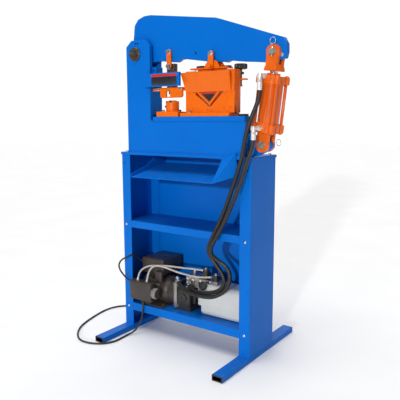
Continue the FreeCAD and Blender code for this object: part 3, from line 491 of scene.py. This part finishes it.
    def make(self, name, body, mats, angle=35, replaces=(), attrs=None):
        me = bpy.data.meshes.new(name)
        me.from_pydata([tuple(P(*p)) for p in self.v], [], self.f)
        me.validate()
        for q in ([mats] if isinstance(mats, str) else mats):
            me.materials.append(MATS[q])
        if len(me.polygons) == len(self.mi):
            me.polygons.foreach_set("material_index", self.mi)
        for key, vals in (attrs or {}).items():
            at = me.attributes.new(key, "FLOAT", "POINT")
            at.data.foreach_set("value", vals)
        bm = bmesh.new()
        bm.from_mesh(me)
        bmesh.ops.recalc_face_normals(bm, faces=bm.faces[:])
        bm.to_mesh(me)
        bm.free()
        me.shade_smooth()
        me.set_sharp_from_angle(angle=math.radians(angle))
        o = bpy.data.objects.new(name, me)
        scene.collection.objects.link(o)
        if body:
            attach(o, body)
        if replaces:
            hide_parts(*replaces)
        return o


def nurbs_points(route, res=10):
    """The smooth line of a route: points along its spline, in the route's own units."""
    cu = bpy.data.curves.new("route", "CURVE")
    cu.dimensions = "3D"
    cu.resolution_u = res
    sp = cu.splines.new("NURBS")
    sp.points.add(len(route) - 1)
    for q, p in zip(sp.points, route):
        q.co = (p[0] / 1000, p[1] / 1000, p[2] / 1000, 1)
    sp.order_u = 3
    sp.use_endpoint_u = True
    ob = bpy.data.objects.new("route", cu)
    me = bpy.data.meshes.new_from_object(ob)
    pts = [Vector(q.co) * 1000 for q in me.vertices]
    bpy.data.objects.remove(ob)
    bpy.data.meshes.remove(me)
    bpy.data.curves.remove(cu)
    return pts


def length_of(pts):
    return sum((pts[i + 1] - pts[i]).length for i in range(len(pts) - 1)) / 1000


# ---------------------------------------------------------- cords and hoses
ROUTES = {
    "hose_upper": (18.0, [
        (405, -136, 1141), (404, -136, 1116), (393, -138, 1080), (374, -142, 1036), (356, -144, 989), (342, -141, 932),
        (332, -138, 882), (312, -138, 825), (283, -135, 744), (235, -131, 631), (191, -126, 552), (158, -115, 498),
        (143, -105, 463), (155, -95, 430), (182, -91, 399), (209, -89, 366), (221, -87, 330), (197, -87, 289),
        (132, -88, 262), (65, -82, 257), (17, -67, 263.5), (-4, -50, 275)]),
    "hose_lower": (18.0, [
        (381, -137, 950), (378, -137, 925), (367, -138, 896), (349, -140, 850), (333, -142, 796), (316, -144, 747),
        (297, -146, 701), (269, -144, 643), (219, -140, 552), (177, -137, 490), (170, -118, 450), (202, -101, 422),
        (231, -95, 406), (250, -91, 373), (244, -94, 320), (215, -98, 284), (168, -107, 256), (92, -103, 248),
        (14, -92, 250), (-42, -70, 266), (-65, -52, 284)]),
    "conduit_left": (9.0, [
        (-262, -112, 267), (-261, -110, 288), (-246, -101, 318), (-212, -86, 336), (-158, -72, 342), (-93, -59, 345),
        (-30, -46, 344), (20, -35, 345), (66, -23, 343)]),
    "conduit_right": (9.0, [
        (-205, -112, 267), (-201, -112, 296), (-192, -101, 330), (-165, -87, 346), (-121, -73, 339), (-70, -58, 322),
        (-17, -46, 314), (35, -45, 312), (85, -41, 317), (121, -26, 322)]),
    "cable_loop": (8.0, [
        (-281, -40, 332), (-296, -46, 338), (-304, -62, 356), (-297, -86, 377), (-296, -114, 385), (-308, -139, 377),
        (-334, -152, 360), (-350, -153, 335), (-347, -149, 309), (-334, -141, 287), (-322, -131, 266), (-306, -121, 252)]),
}
cord_objs = {}
for label, (dia, route) in ROUTES.items():
    line = nurbs_points(route)
    b = Build()
    at = {}
    hose = label.startswith("hose")
    b.sweep(line, dia / 2, 20 if hose else 16, attrs=at)
    mat = {"hose_upper": "hose_plain", "hose_lower": "hose_dashed", "cable_loop": "black_rubber"}.get(label, "grey_conduit")
    o = b.make(label + "_line", None, mat, replaces=(label,), attrs=at)
    if hose:
        z0, z1 = (0.82, 1.12) if label == "hose_upper" else (0.80, 0.94)
        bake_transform(o)
    else:
        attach(o, "frame")
    cord_objs[label] = o
    print(label, round(length_of(line), 3))

mains = [
    (-232, -112, 140), (-233, -113, 112), (-238, -119, 74), (-250, -131, 36), (-264, -153, 10), (-276, -186, 4.4),
    (-272, -232, 4.4), (-272, -281, 4.4), (-300, -326, 4.4), (-352, -354, 4.4), (-410, -358, 4.4), (-460, -332, 4.4),
    (-506, -288, 4.4), (-545, -232, 4.4), (-572, -158, 4.4), (-594, -76, 4.4), (-608, 8, 4.4), (-594, 72, 4.4),
    (-553, 118, 4.4), (-503, 148, 4.4), (-450, 167, 14), (-393, 177, 35), (-331, 182, 41), (-269, 182, 35),
    (-217, 172, 14), (-178, 154, 4.6), (-140, 142.5, 4.4)]
CX, CY = -140.0, 190.0
turn = []
for i in range(1, 36):
    a = -90 + i * 30
    r, z = 47.2, 4.5
    if i > 11:
        r = 55.6
    if i == 11:
        r = 51.5
    if i > 23:
        r, z = 51.4, 12.0
    if i == 23:
        r, z = 53.5, 9.0
    if i == 35:
        r, z = 53.5, 12.0
    turn.append((CX + r / 0.966 * math.cos(math.radians(a)), CY + r / 0.966 * math.sin(math.radians(a)), z))
tail = [(-140, 136.6, 12.2), (-128, 136.0, 11.8), (-116, 136, 11.5)]
line = nurbs_points(mains + turn + tail, 8)
b = Build()
at = {}
b.sweep(line, 4.25, 14, attrs=at)
cord = b.make("power_cord_line", "frame", "black_rubber", replaces=("power_cord", "power_cord_coil"), attrs=at)
print("power_cord", round(length_of(line), 3))

# ------------------------------------------------------- finish of CAD pieces
FINISH = {
    "blue_powder": ["left_foot", "right_foot", "left_side_panel", "right_side_panel", "middle_shelf", "bottom_shelf",
                    "back_panel", "stand_top_plate", "chip_tray", "front_frame_plate", "rear_frame_plate", "table_plate",
                    "frame_spacers", "cylinder_lug", "beam", "punch_guard"],
    "orange_gloss": ["punch_link", "stripper", "die_holder", "die_base", "shear_base", "shear_front_plate",
                     "shear_rear_plate", "shear_posts", "shear_knife", "shear_link", "hopper_plate"],
    "orange_cast": ["cylinder_base_cap", "cylinder_head_cap", "rod_clevis"],
    "barrel_gloss": ["cylinder_barrel", "tie_rods"],
    "black_moulded": ["foot_caps", "power_plug"],
    "dark_steel": ["pivot_pin", "punch_ram", "hold_down_screw"],
    "zinc_plate": ["link_bolts", "pump_elbows"],
    "chrome_rod": ["piston_rod"],
    "motor_brown": ["pump_adaptor"],
    "box_brown": ["control_box"],
    "pump_black": ["pump_block"],
    "cast_alloy": ["valve_block", "top_pin", "bottom_pin"],
    "tank_milk": ["reservoir"],
}
BEVEL = {"left_foot": 2.0, "right_foot": 2.0, "stand_top_plate": 1.4, "middle_shelf": 0.8, "bottom_shelf": 0.8,
         "left_side_panel": 0.6, "right_side_panel": 0.6, "back_panel": 0.5, "chip_tray": 0.6, "table_plate": 1.4,
         "frame_spacers": 0.8, "punch_guard": 0.7, "stripper": 1.2, "die_base": 1.2, "die_holder": 1.2, "shear_base": 1.2,
         "shear_posts": 1.0, "hopper_plate": 0.7, "punch_link": 1.0, "shear_link": 1.0, "foot_caps": 1.0,
         "cylinder_base_cap": 2.0, "cylinder_head_cap": 2.0, "rod_clevis": 1.6, "control_box": 2.2, "pump_adaptor": 1.4,
         "pump_block": 1.6, "valve_block": 1.2, "punch_ram": 1.0, "pivot_pin": 0.8, "top_pin": 1.2, "bottom_pin": 1.2,
         "reservoir": 3.0, "power_plug": 0.6, "link_bolts": 1.0, "hold_down_screw": 0.6, "shear_knife": 0.6}
for mname, names in FINISH.items():
    for n in names:
        o = nodes[n]
        o.data.materials.clear()
        o.data.materials.append(MATS[mname])
        for pl in o.data.polygons:
            pl.material_index = 0
for n, o in nodes.items():
    if o.hide_render:
        continue
    w = o.modifiers.new("weld", "WELD")
    w.merge_threshold = 0.00001
    if n in BEVEL:
        dcm = o.modifiers.new("flat", "DECIMATE")
        dcm.decimate_type = "DISSOLVE"
        dcm.angle_limit = math.radians(0.6)
        bv = o.modifiers.new("edge", "BEVEL")
        bv.width = BEVEL[n] / 1000
        bv.segments = 2
        bv.limit_method = "ANGLE"
        bv.angle_limit = math.radians(40)
        bv.harden_normals = False
    o.data.shade_smooth()
    try:
        o.data.set_sharp_from_angle(angle=math.radians(32))
    except Exception:
        pass
    wn = o.modifiers.new("normals", "WEIGHTED_NORMAL")
    wn.keep_sharp = True
    wn.weight = 80

# ---------------------------------------------------------------- stand details
b = Build()
for x, z in ((331, 526), (330, 119), (-334, 530), (-330, 119)):
    b.button((x, -106.6, z), (0, -1, 0), 6.2, 4.2)
    b.button((x, 106.6, z), (0, 1, 0), 6.2, 4.2)
    b.hexhead((x * 0.99, 103.4, z), (0, -1, 0), 6.6, 5.0)
for x in (-335, 335):
    for y in (-88, 88):
        b.hexhead((x, y, 878.8), (0, 0, 1), 7.4, 4.6, washer=1.4)
for x in (-300, -150, 0, 150, 300):
    for z in (150, 500, 820):
        b.button((x * 1.08, 109.2, z), (0, 1, 0), 4.0, 2.2)
b.make("stand_bolts", "frame", "zinc_plate")

# painted shade: thin near-black discs laid on the panels where drilled holes show their shaded insides
b = Build()
for x, z in ((-339, 824), (339, 824)):
    b.lathe((x, -106.4, z), (0, -1, 0), [(0, 4.0), (0.35, 4.0)], 20)
    b.lathe((x, 106.4, z), (0, 1, 0), [(0, 4.0), (0.35, 4.0)], 20)
b.lathe((-219.4, 25, 848), (1, 0, 0), [(0, 3.2), (0.3, 3.2)], 16)
b.make("painted_hole_shade_discs", "frame", "hole_dark")

# weld beads where the stand's panels meet the feet and the frame meets its top plate
b = Build()


def bead(a, c, r=2.6, pitch=3.0, nrm=(0, -1, 1)):
    """A row of overlapping scales from a to c."""
    a, c = Vector(a), Vector(c)
    n = max(6, int((c - a).length / pitch))
    pts = [a + (c - a) * (i / (4 * n)) for i in range(4 * n + 1)]
    b.sweep(pts, lambda s: r * (0.80 + 0.20 * abs(math.sin(math.pi * s / pitch))), 10)


for s in (-1, 1):
    bead((s * 354, -107.5, 26.2), (s * 306, -107.5, 26.2))
    bead((s * 354, 107.5, 26.2), (s * 306, 107.5, 26.2))
    bead((s * 351.8, -100, 26.0), (s * 351.8, 100, 26.0), 2.2)
bead((-318, -97.6, 879.6), (316, -97.6, 879.6), 2.8, 3.4)
bead((-318, -11.4, 879.6), (316, -11.4, 879.6), 2.8, 3.4)
bead((318.8, -76, 884), (318.8, -76, 970), 2.4)
b.make("weld_beads", "frame", "blue_powder")

# end plates of the ribbed foot plugs
b = Build()
for x in (-330.2, 330.2):
    for s in (-1, 1):
        y = s * 315.0
        b.bar(x - 21, x + 21, min(y, y - s * 1.6), max(y, y - s * 1.6), 4.2, 21.2, 0.7)
b.make("foot_cap_faces", "frame", "black_moulded")

# ------------------------------------------------------------- frame and beam
b = Build()
b.lathe((-265, -103.2, 1324), (0, -1, 0), [(0, 30.5), (1.2, 30.5), (2.0, 29.4), (2.0, 23), (1.2, 22), (1.2, 0.5)], 48, caps=False)
b.lathe((-268, -103, 1327), (0, -1, 0), [(0, 7.5), (3, 7.5), (3.6, 6.6)], 6)
b.lathe((-268, -106, 1327), (0, -1, 0), [(0, 4.2), (6, 4.2), (7, 3.0), (8.5, 2.4), (10, 3.2), (12, 3.0), (13, 1.4)], 20)
b.make("pivot_fittings", "frame", "dark_steel")
b = Build()
b.hexhead((461, -67.2, 1276), (0, -1, 0), 6.0, 4.0, washer=1.0)
b.make("beam_end_bolt", "beam", "zinc_plate")
b = Build()
b.hexhead((-84, -87.2, 1324), (0, -1, 0), 8.8, 4.8)
b.lathe((-84, -79.7, 1324), (0, -1, 0), [(0, 10.6), (1.2, 10.6), (1.5, 10.2)], 32)
b.hexhead((144, -94, 1301), (0, -1, 0), 7.4, 4.6)
b.lathe((144, -88.2, 1301), (0, -1, 0), [(0, 10.0), (1.2, 10.0), (1.5, 9.6)], 32)
b.make("link_bolt_heads", "beam", "zinc_plate")
b = Build()
b.hexhead((-84, -87.2, 1262), (0, -1, 0), 8.8, 4.8)
b.lathe((-84, -79.7, 1262), (0, -1, 0), [(0, 10.6), (1.2, 10.6), (1.5, 10.2)], 32)
b.lathe((-76, -84, 1249), (0, -1, 0.2), [(0, 2.6), (10, 2.6), (11, 1.8)], 14)
b.make("ram_bolt", "punch_ram", "zinc_plate")
b = Build()
b.hexhead((144, -94, 1249), (0, -1, 0), 7.4, 4.6)
b.make("knife_bolt", "shear_knife", "orange_gloss")

# ------------------------------------------------------------- punch station
b = Build()
b.bar(-149, -8, -123.0, -121.9, 1178, 1214.6, 0.3)
b.mat = 1
b.bar(-149, -8, -123.0, -121.9, 1215.2, 1227, 0.3)
b.make("guard_plate", "frame", ["plate_dark", "plate_red"])
b = Build()
b.hexhead((-152, -78, 1163), (0, -1, 0), 6.5, 5.0, washer=1.2)
b.hexhead((-14, -90, 1163), (0, -1, 0), 5.5, 4.0, washer=1.0)
b.hexhead((-124, -72, 1065), (0, 0, 1), 8.5, 6.5, washer=1.6)
b.hexhead((36, -88, 1058), (0, 0, 1), 7.5, 6.5, washer=1.4)
b.make("tooling_bolts", "frame", "zinc_plate")
b = Build()
b.socket((-34, -66, 1065), (0, 0, 1), 6.5, 8.0)
b.socket((-130, -34, 1065), (0, 0, 1), 6.5, 8.0)
b.lathe((-122.5, -54.5, 1088), (-1, 0, 0), [(0, 4.4), (3.0, 4.4), (3.6, 3.8), (3.6, 2.2), (2.0, 2.1)], 18)
for dx in (-15, 4):
    b.bar(-84 + dx, -84 + dx + 11, -54.5 - 29.5, -54.5 - 22, 1104.5, 1111.6, 0.8)
    b.bar(-84 + dx, -84 + dx + 11, -54.5 + 22, -54.5 + 29.5, 1104.5, 1111.6, 0.8)
b.make("die_screws", "frame", "black_moulded")
b = Build()
b.lathe((-84, -54.5, 1109), (0, 0, 1), [(0, 19.6), (4.4, 19.6), (5.2, 18.8), (5.2, 11.2), (3.6, 10.2)], 40)
b.make("punch_die_ring", "frame", "dark_steel")

# ------------------------------------------------------------- shear station
b = Build()
for x, z in ((20, 1139), (58, 1141), (212, 1139), (238, 1137), (47, 1077), (206, 1080), (236, 1080), (118, 1071), (144, 1071), (20, 1077)):
    b.socket((x, -77.9, z), (0, -1, 0), 5.6, 2.2)
for x, z in ((232, 1160), (247, 1190), (232, 1218), (247, 1218)):
    b.socket((x, -77.9, z), (0, -1, 0), 4.2, 1.8)
for x in (20, 120, 222):
    b.socket((x, -90, 1057.9), (0, 0, 1), 5.6, 2.6)
for x, z in ((20, 1090), (238, 1090), (20, 1200), (238, 1200), (120, 1068)):
    b.socket((x, -30.1, z), (0, 1, 0), 5.6, 2.2)
b.make("shear_screws", "frame", "orange_gloss")
b = Build()
b.prism([(91, -74.1, 1136.5), (131, -74.1, 1104.5), (161, -74.1, 1136.5)], (0, -0.9, 0))
b.mat = 1
b.prism([(76, -74.1, 1148.0), (90, -74.1, 1137.2), (161.6, -74.1, 1137.2), (171.8, -74.1, 1148.0)], (0, -0.9, 0))
b.make("knife_plate", "shear_knife", ["plate_dark", "plate_red"])
b = Build()
b.prism([(62, -74.0, 1148.0), (133, -74.0, 1089.2), (133, -74.0, 1100.0), (74.5, -74.0, 1148.0)], (0, -3.4, 0))
b.prism([(133, -74.0, 1089.2), (186, -74.0, 1148.0), (174, -74.0, 1148.0), (133, -74.0, 1100.0)], (0, -3.4, 0))
b.make("knife_rim", "shear_knife", "orange_gloss")
b = Build()
b.bar(57, 89, -62, -46, 1245.9, 1256.5, 2.5)
b.bar(184, 220, -60, -40, 1245.9, 1251.5, 2.0)
b.bar(62, 86, -74, -64, 1245.9, 1253.5, 2.0)
b.make("knife_bumpers", "shear_knife", "black_rubber")
b = Build()
b.bar(272, 298, -70, -30, 1043, 1052.5, 2.0)
b.make("table_block", "frame", "black_rubber")
# long-hole strip at the hopper's right side
b = Build()
b.bar(243.5, 256, -80.2, -77.8, 1150, 1226, 0.5)
b.make("post_strip", "frame", "orange_gloss")

# hold-down knob: fluted rim, dished top
b = Build()
b.lathe((248, -15, 1236), (0, 0, 1), [(0, 7), (0, 21), (1.5, 25.2), (4, 27.5), (18, 27.5), (20.5, 26.4), (22, 24), (22, 17), (20.5, 14.5),
                                    (20.5, 0.5)], 144, ripple=(24, 2.0, 22), caps=False)
b.make("knob_fluted", "hold_down", "black_moulded", replaces=("hold_down_knob",))
b = Build()
b.hexhead((248, -15, 1216), (0, 0, 1), 14.4, 9.2)
for k in range(10):
    b.ring((248, -15, 1173 + k * 1.8), (0, 0, 1), 5.3, 0.65, 24, 6)
for k in range(9):
    b.ring((248, -15, 1199.5 + k * 1.8), (0, 0, 1), 5.3, 0.65, 24, 6)
b.make("screw_thread", "hold_down", "dark_steel")

# ----------------------------------------------------------------- cylinder
bx, bz, tx, tz, MY = 389.7, 928.0, 431.9, 1287.5, -54.5
ax = Vector((tx - bx, 0, tz - bz)).normalized()
side = Vector((0, 1, 0)).cross(ax).normalized()


def C(u, y, w):
    """A point on the cylinder: u across, y back, w along its axis from the bottom pin."""
    return Vector((bx, MY, bz)) + side * u + Vector((0, y, 0)) + ax * w


b = Build()
b.lathe(C(0, 0, 83), ax, [(0, 46.5), (3.5, 46.5), (5.2, 44.5), (5.8, 43)], 64, caps=False)
b.lathe(C(0, 0, 241), -ax, [(0, 46.5), (3.5, 46.5), (5.2, 44.5), (5.8, 43)], 64, caps=False)
b.lathe(C(0, 0, 279), ax, [(0, 26.5), (1.6, 26.5), (2.4, 25.6), (2.4, 18.5), (1.4, 17.4)], 48, caps=False)
for w, sg in ((66, 1), (256, 1)):
    b.lathe(C(0, -47, w), (0, -1, 0), [(0, 16.5), (3.5, 16.5), (5.0, 15.2), (5.0, 11)], 40)
b.make("cylinder_trim", "cylinder", "orange_cast")

# hose ends: hexagon nut, elbow and crimped ferrule
b = Build()
for (a, p, ferr) in (((410.0, -97.0, 1195.0), (405.0, -136.0), 1141.0), ((394.0, -98.0, 995.0), (381.0, -137.0), 950.0)):
    a = Vector(a)
    c = Vector((p[0], p[1], a.z))
    dr = (c - a).normalized()
    ln = (c - a).length
    b.hexhead(a - dr * 1.0, dr, 12.0, 9.0)
    b.hexhead(a + dr * 10.0, dr, 11.2, 12.0)
    b.lathe(a, dr, [(0, 7.6), (ln - 7, 7.6)], 24)
    b.bar(c.x - 8.8, c.x + 8.8, c.y - 8.8, c.y + 8.8, a.z - 9.5, a.z + 8.8, 3.4)
    b.lathe(c - dr * 8.0, -dr, [(0, 8.6), (3.5, 7.6)], 24)
    zt = a.z - 8.5
    b.lathe((c.x, c.y, zt), (0, 0, -1), [(0, 8.4), (6, 8.4), (6.5, 7.0)], 24)
    b.hexhead((c.x, c.y, zt - 14.5), (0, 0, 1), 11.0, 9.5)
    h = zt - 14.0 - ferr
    prof = [(0, 9.2), (1.0, 10.3)]
    k = 1.0
    while k < h - 5:
        prof += [(k + 1.0, 10.6), (k + 4.2, 10.6), (k + 5.0, 9.8), (k + 6.2, 9.8)]
        k += 6.6
    prof += [(h - 1.5, 10.3), (h, 9.0)]
    b.lathe((c.x, c.y, ferr - 0.5), (0, 0, 1), prof, 32)
b.make("hose_ends", "cylinder", "ferrule_white", replaces=("cylinder_fittings",))

# clevis pins: turned ends and lynch pins with their rings
for nm, w, body, yl, rx, rz in (("top_pin_trim", math.hypot(tx - bx, tz - bz), "rod", -90.5, 1.5, 27.0),
                                ("bottom_pin_trim", 0.0, "cylinder", -14.0, 18.0, 4.0)):
    b = Build()
    c = C(0, 0, w)
    b.mat = 1
    b.lathe((c.x, MY - 45.0, c.z), (0, -1, 0), [(0, 12.6), (1.4, 12.6), (3.0, 11.0), (3.2, 0.4)], 40, caps=False)
    b.lathe((c.x, MY - 32.2, c.z), (0, -1, 0), [(0, 15.6), (1.8, 15.6), (2.2, 15.1), (2.2, 12.8)], 40, caps=False)
    b.lathe((c.x, MY + 37, c.z), (0, 1, 0), [(0, 12.4), (3, 12.4), (4.4, 11.0), (4.4, 0.5)], 40, caps=False)
    b.mat = 0
    dr = Vector((rx, 0, rz)).normalized()
    ct = Vector((c.x, yl, c.z))
    b.lathe(ct - dr * 19, dr, [(0, 1.5), (1.2, 2.4), (32, 2.4), (32.5, 4.2), (37, 4.2), (38.0, 3.0)], 18)
    rc = ct + dr * (19 + 21.0)
    b.ring(rc, (0.15, 1, 0.05) if nm == "top_pin_trim" else (0.35, 1, 0.1), 12.8, 1.25, 48, 10)
    b.make(nm, body, ["zinc_plate", "cast_alloy"])

b = Build()
cb = C(16, -36.5, 303)
b.socket(cb, (0, -1, 0), 9.5, 2.0)
b.make("clevis_clamp_screw", "rod", "orange_cast")

# ---------------------------------------------------------------- power unit
AY, AZ, ZS = -2.0, 209.7, 140.7
b = Build()
b.lathe((-295, AY, AZ), (1, 0, 0), [(0, 0.5), (0, 16), (1.5, 22), (2, 40), (4, 52), (9, 60), (14, 64.5), (19, 66.5), (20, 68), (32, 68),
                                   (32.6, 66.8), (34.4, 66.8), (35, 68), (138, 68), (138.6, 66.8), (140.4, 66.8), (141, 68),
                                   (164, 68), (166, 66.6), (177, 65.0)], 72, caps=False)
b.lathe((-298, AY, AZ), (1, 0, 0), [(0, 9), (1.5, 12), (4, 12)], 30)
for k in range(12):
    t = math.radians(15 + 30 * k)
    o2 = Vector((-284.5, AY + 62.6 * math.cos(t), AZ + 62.6 * math.sin(t)))
    b.ring(o2, (1, 0, 0), 3.0, 0.8, 16, 6)
# rolled cradle and slotted base
b.bar(-262, -128, -94, 72, ZS, ZS + 5.5, 1.4)
for x in (-236, -152):
    b.prism([(x, -52, ZS + 5), (x, 48, ZS + 5), (x, 40, AZ - 46), (x, 28, AZ - 60), (x, -32, AZ - 60), (x, -44, AZ - 46)], (5, 0, 0))
for y in (-66, 62):
    for x in (-245, -145):
        b.hexhead((x, y, ZS + 5.4), (0, 0, 1), 7.0, 5.0, washer=1.4)
for t in (55, 125, 235, 305):
    tt = math.radians(t)
    b.hexhead((-289, AY + 52 * math.cos(tt), AZ + 52 * math.sin(tt)), (-1, 0, 0), 4.6, 3.6)
b.make("motor_body", "frame", "motor_brown", replaces=("motor",))
b = Build()
# bare metal plate wrapped on the can
vv, ff = [], []
for i in range(13):
    t = math.radians(148 + i * 2.9)
    for x in (-226, -168):
        vv.append(Vector((x, AY + 68.7 * math.cos(t), AZ + 68.7 * math.sin(t))))
        vv.append(Vector((x, AY + 67.6 * math.cos(t), AZ + 67.6 * math.sin(t))))
for i in range(12):
    a = 4 * i
    ff += [(a, a + 2, a + 6, a + 4), (a + 1, a + 5, a + 7, a + 3), (a, a + 4, a + 5, a + 1), (a + 2, a + 3, a + 7, a + 6)]
ff += [(0, 1, 3, 2), (48, 50, 51, 49)]
b.add(vv, ff)
b.make("motor_plate", "frame", "nameplate")

# capacitor housing: a pressed cover with rounded corners, and its relay box
b = Build()
b.bar(-281, -147, -60, 95, 290, 365, 7)
b.bar(-279, -149, -58, 93, 290.5, 297, 2.0)
b.bar(-262, -166, -30, 26, 272, 292, 1.5)
b.mat = 1
b.bar(-184, -143.5, -79.5, -60.5, 262.5, 311.5, 3.0)
b.mat = 0
for x in (-268, -160):
    for z in (306, 348):
        b.button((x, -60.0, z), (0, -1, 0), 3.4, 2.0)
b.make("capacitor_cover", "frame", ["motor_brown", "box_brown"], replaces=("capacitor_box",))

# control box: cover plate, screws, strain relief rings
b = Build()
b.bar(-297, -168, -132.4, -129.8, 175, 259, 1.2)
for x in (-291, -174):
    for z in (181, 253):
        b.button((x, -132.3, z), (0, -1, 0), 3.3, 1.8)
b.make("control_cover", "frame", "box_brown")
b = Build()
for k in range(6):
    z = 143 + k * 4.6
    r = 5.9 + (z - 140) * 0.125
    b.ring((-232, -112, z), (0, 0, 1), r, 1.1, 28, 8)
b.lathe((-232, -112, 172.3), (0, 0, -1), [(0, 13.5), (5, 13.5), (6, 12.4)], 6)
b.make("cord_relief", "frame", "black_moulded")
b = Build()
for x in (-262, -205):
    b.hexhead((x, -112, 261.6), (0, 0, 1), 9.4, 5.0)
    b.lathe((x, -112, 266.4), (0, 0, 1), [(0, 7.0), (6, 7.0), (7, 5.6), (9, 5.2)], 24)
for (x, y, z, d) in ((66, -23, 343, (-1, -0.2, 0)), (121, -26, 322, (-1, -0.55, -0.15))):
    b.hexhead((x, y, z), d, 8.6, 5.0)
    dd = Vector(d).normalized()
    b.lathe(Vector((x, y, z)) + dd * 4.6, dd, [(0, 6.6), (5, 6.4), (6.2, 5.2)], 22)
b.make("conduit_nuts", "frame", "zinc_plate")
b = Build()
b.lathe((-281.2, -40, 332), (-1, -0.3, 0.35), [(0, 8.4), (4, 8.4), (5, 7.2), (9, 6.2), (12, 5.0)], 24)
b.hexhead((-305.5, -120.5, 251.6), (-0.75, -0.45, 0.65), 7.8, 5.0)
b.make("cable_glands", "frame", "black_moulded")

# rotary switch: knurled ring, black face and a finger bar
b = Build()
b.lathe((-164.7, -112, 215), (1, 0, 0), [(0, 20), (0, 24.4), (1.5, 25), (20, 25), (22, 24.2), (23, 22.0)], 160, ripple=(40, 1.3, 22.5))
b.mat = 1
b.lathe((-141.8, -112, 215), (1, 0, 0), [(0, 21.5), (1.2, 21.2), (2.0, 19.5), (2.0, 0.5)], 48, caps=False)
b.prism([(-140.6, -115.4, 197), (-140.6, -108.6, 197), (-140.6, -108.6, 233), (-140.6, -112, 237), (-140.6, -115.4, 233)], (3.0, 0, 0))
b.make("switch_dial", "switch_knob", ["knob_grey", "box_brown"], replaces=("switch_knob",))

# pump flange face and bolts, pump ports, valve plugs
b = Build()
b.bar(-84.4, -63.4, -64.4, 60.4, 147.6, 271.9, 2.4)
for y in (-54, 50):
    for z in (158, 261):
        b.hexhead((-63.6, y, z), (1, 0, 0), 6.6, 5.0, washer=1.2)
b.make("pump_flange", "frame", "cast_alloy")
b = Build()
b.bar(-61, 8, -61.5, -58, 160, 248, 2.0)
b.lathe((-28, -61, 205), (0, -1, 0), [(0, 19), (5, 19), (7, 17), (7, 9), (4, 8)], 36)
for x, z in ((-54, 168), (1, 168), (-54, 240), (1, 240)):
    b.socket((x, -61.2, z), (0, -1, 0), 5.0, 3.6)
b.bar(10, 26, -40, 30, 176, 238, 3.0)
b.make("pump_trim", "frame", "pump_black")
b = Build()
for x, y, z, d, r in ((-18, -32, 292, (0, -1, 0), 7.5), (12, -32, 292, (0, -1, 0), 7.5), (-12, -32, 272, (0, -1, 0), 6.0),
                      (20, -32, 272, (0, -1, 0), 6.0), (56, -34, 295, (0, -1, 0), 5.0), (100, -34, 295, (0, -1, 0), 5.0)):
    b.hexhead((x, y, z), d, r, 6.0)
b.lathe((5, -10, 312), (0, 0, 1), [(0, 11), (6, 11), (7, 9), (18, 9), (19, 7), (26, 7), (27, 5.5)], 26)
b.lathe((75, -20, 352), (0, 0, 1), [(0, 7), (3, 7), (3.6, 6), (3.6, 3), (5.6, 3)], 24)
b.lathe((130, -20, 334), (0, 0, 1), [(0, 7), (3, 7), (3.6, 6), (3.6, 3), (5.6, 3)], 24)
b.make("valve_plugs", "frame", "zinc_plate")
b = Build()
for x, z0, z1 in ((75, 303, 351), (130, 303, 333)):
    b.lathe((x, -20, z0), (0, 0, 1), [(0, 14.6), (1, 15.4), (z1 - z0 - 2, 15.4), (z1 - z0 - 0.4, 14.2), (z1 - z0 - 0.4, 6)], 40)
    b.bar(x - 15, x + 15, -38, -22, z0 + 12, z0 + 30, 2.5)
b.make("valve_coils", "frame", "pump_black")
b = Build()
for ball, foot in (((-74, -45, 291), 271.7), ((-12.6, -43, 279.7), 256.0)):
    b.hexhead((ball[0], ball[1], foot), (0, 0, 1), 12.0, 7.5)
for ball, end in (((-74, -45, 291), (-65, -52, 284)), ((-12.6, -43, 279.7), (-4, -50, 275))):
    d2 = Vector(end) - Vector(ball)
    b.hexhead(Vector(end) - d2.normalized() * 9, d2, 12.0, 8.0)
    b.lathe(Vector(end) - d2.normalized() * 1.5, d2, [(0, 10.4), (3, 10.6), (6, 10.0), (9, 10.6), (15, 10.6), (16, 9.2)], 28)
b.make("pump_port_nuts", "frame", "zinc_plate")

# reservoir: mould seams and shoulder, fluted cap
b = Build()


def seam(z, x0, x1, y0, y1, rad, r):
    pts = []
    for cx, cy, a0 in ((x1 - rad, y1 - rad, 0), (x0 + rad, y1 - rad, 90), (x0 + rad, y0 + rad, 180), (x1 - rad, y0 + rad, 270)):
        for i in range(9):
            t = math.radians(a0 + i * 90 / 8)
            pts.append(Vector((cx + rad * math.cos(t), cy + rad * math.sin(t), z)))
    pts.append(pts[0])
    b.sweep(pts, r, 8)


seam(188.5, 42.4, 297.6, -54.6, 64.6, 24, 1.5)
seam(196.0, 42.4, 297.6, -54.6, 64.6, 24, 0.9)
seam(262.0, 42.8, 297.2, -54.2, 64.2, 24, 1.3)
b.make("tank_seams", "frame", "tank_milk")
b = Build()
cd = Vector((0, -0.8, 0.6))
b.lathe(Vector((85, -60, 281)) - cd * 12, cd, [(0, 15), (6, 15), (7, 18), (8, 19.4), (21, 19.4), (23, 18.4), (24, 15.5), (24, 9), (22.6, 8),
                                             (22.6, 0.5)], 120, ripple=(30, 1.3, 17.5), caps=False)
b.make("tank_cap_fluted", "frame", "black_moulded", replaces=("tank_cap",))

# ---------------------------------------------------------------------- floor
me = bpy.data.meshes.new("floor")
me.from_pydata([(-20, -20, 0), (20, -20, 0), (20, 20, 0), (-20, 20, 0)], [], [(0, 1, 2, 3)])
floor = bpy.data.objects.new("floor", me)
scene.collection.objects.link(floor)
mt, nt, bs = new_mat("floor_pale")
nt.links.new(mix(nt, rng(nt, noise(nt, coords(nt), 2.5, 3), 0, 1), (0.90, 0.90, 0.90), (0.93, 0.93, 0.93)), bs.inputs["Base Color"])
bs.inputs["Roughness"].default_value = 0.6
me.materials.append(mt)
floor.location.z = -0.0005
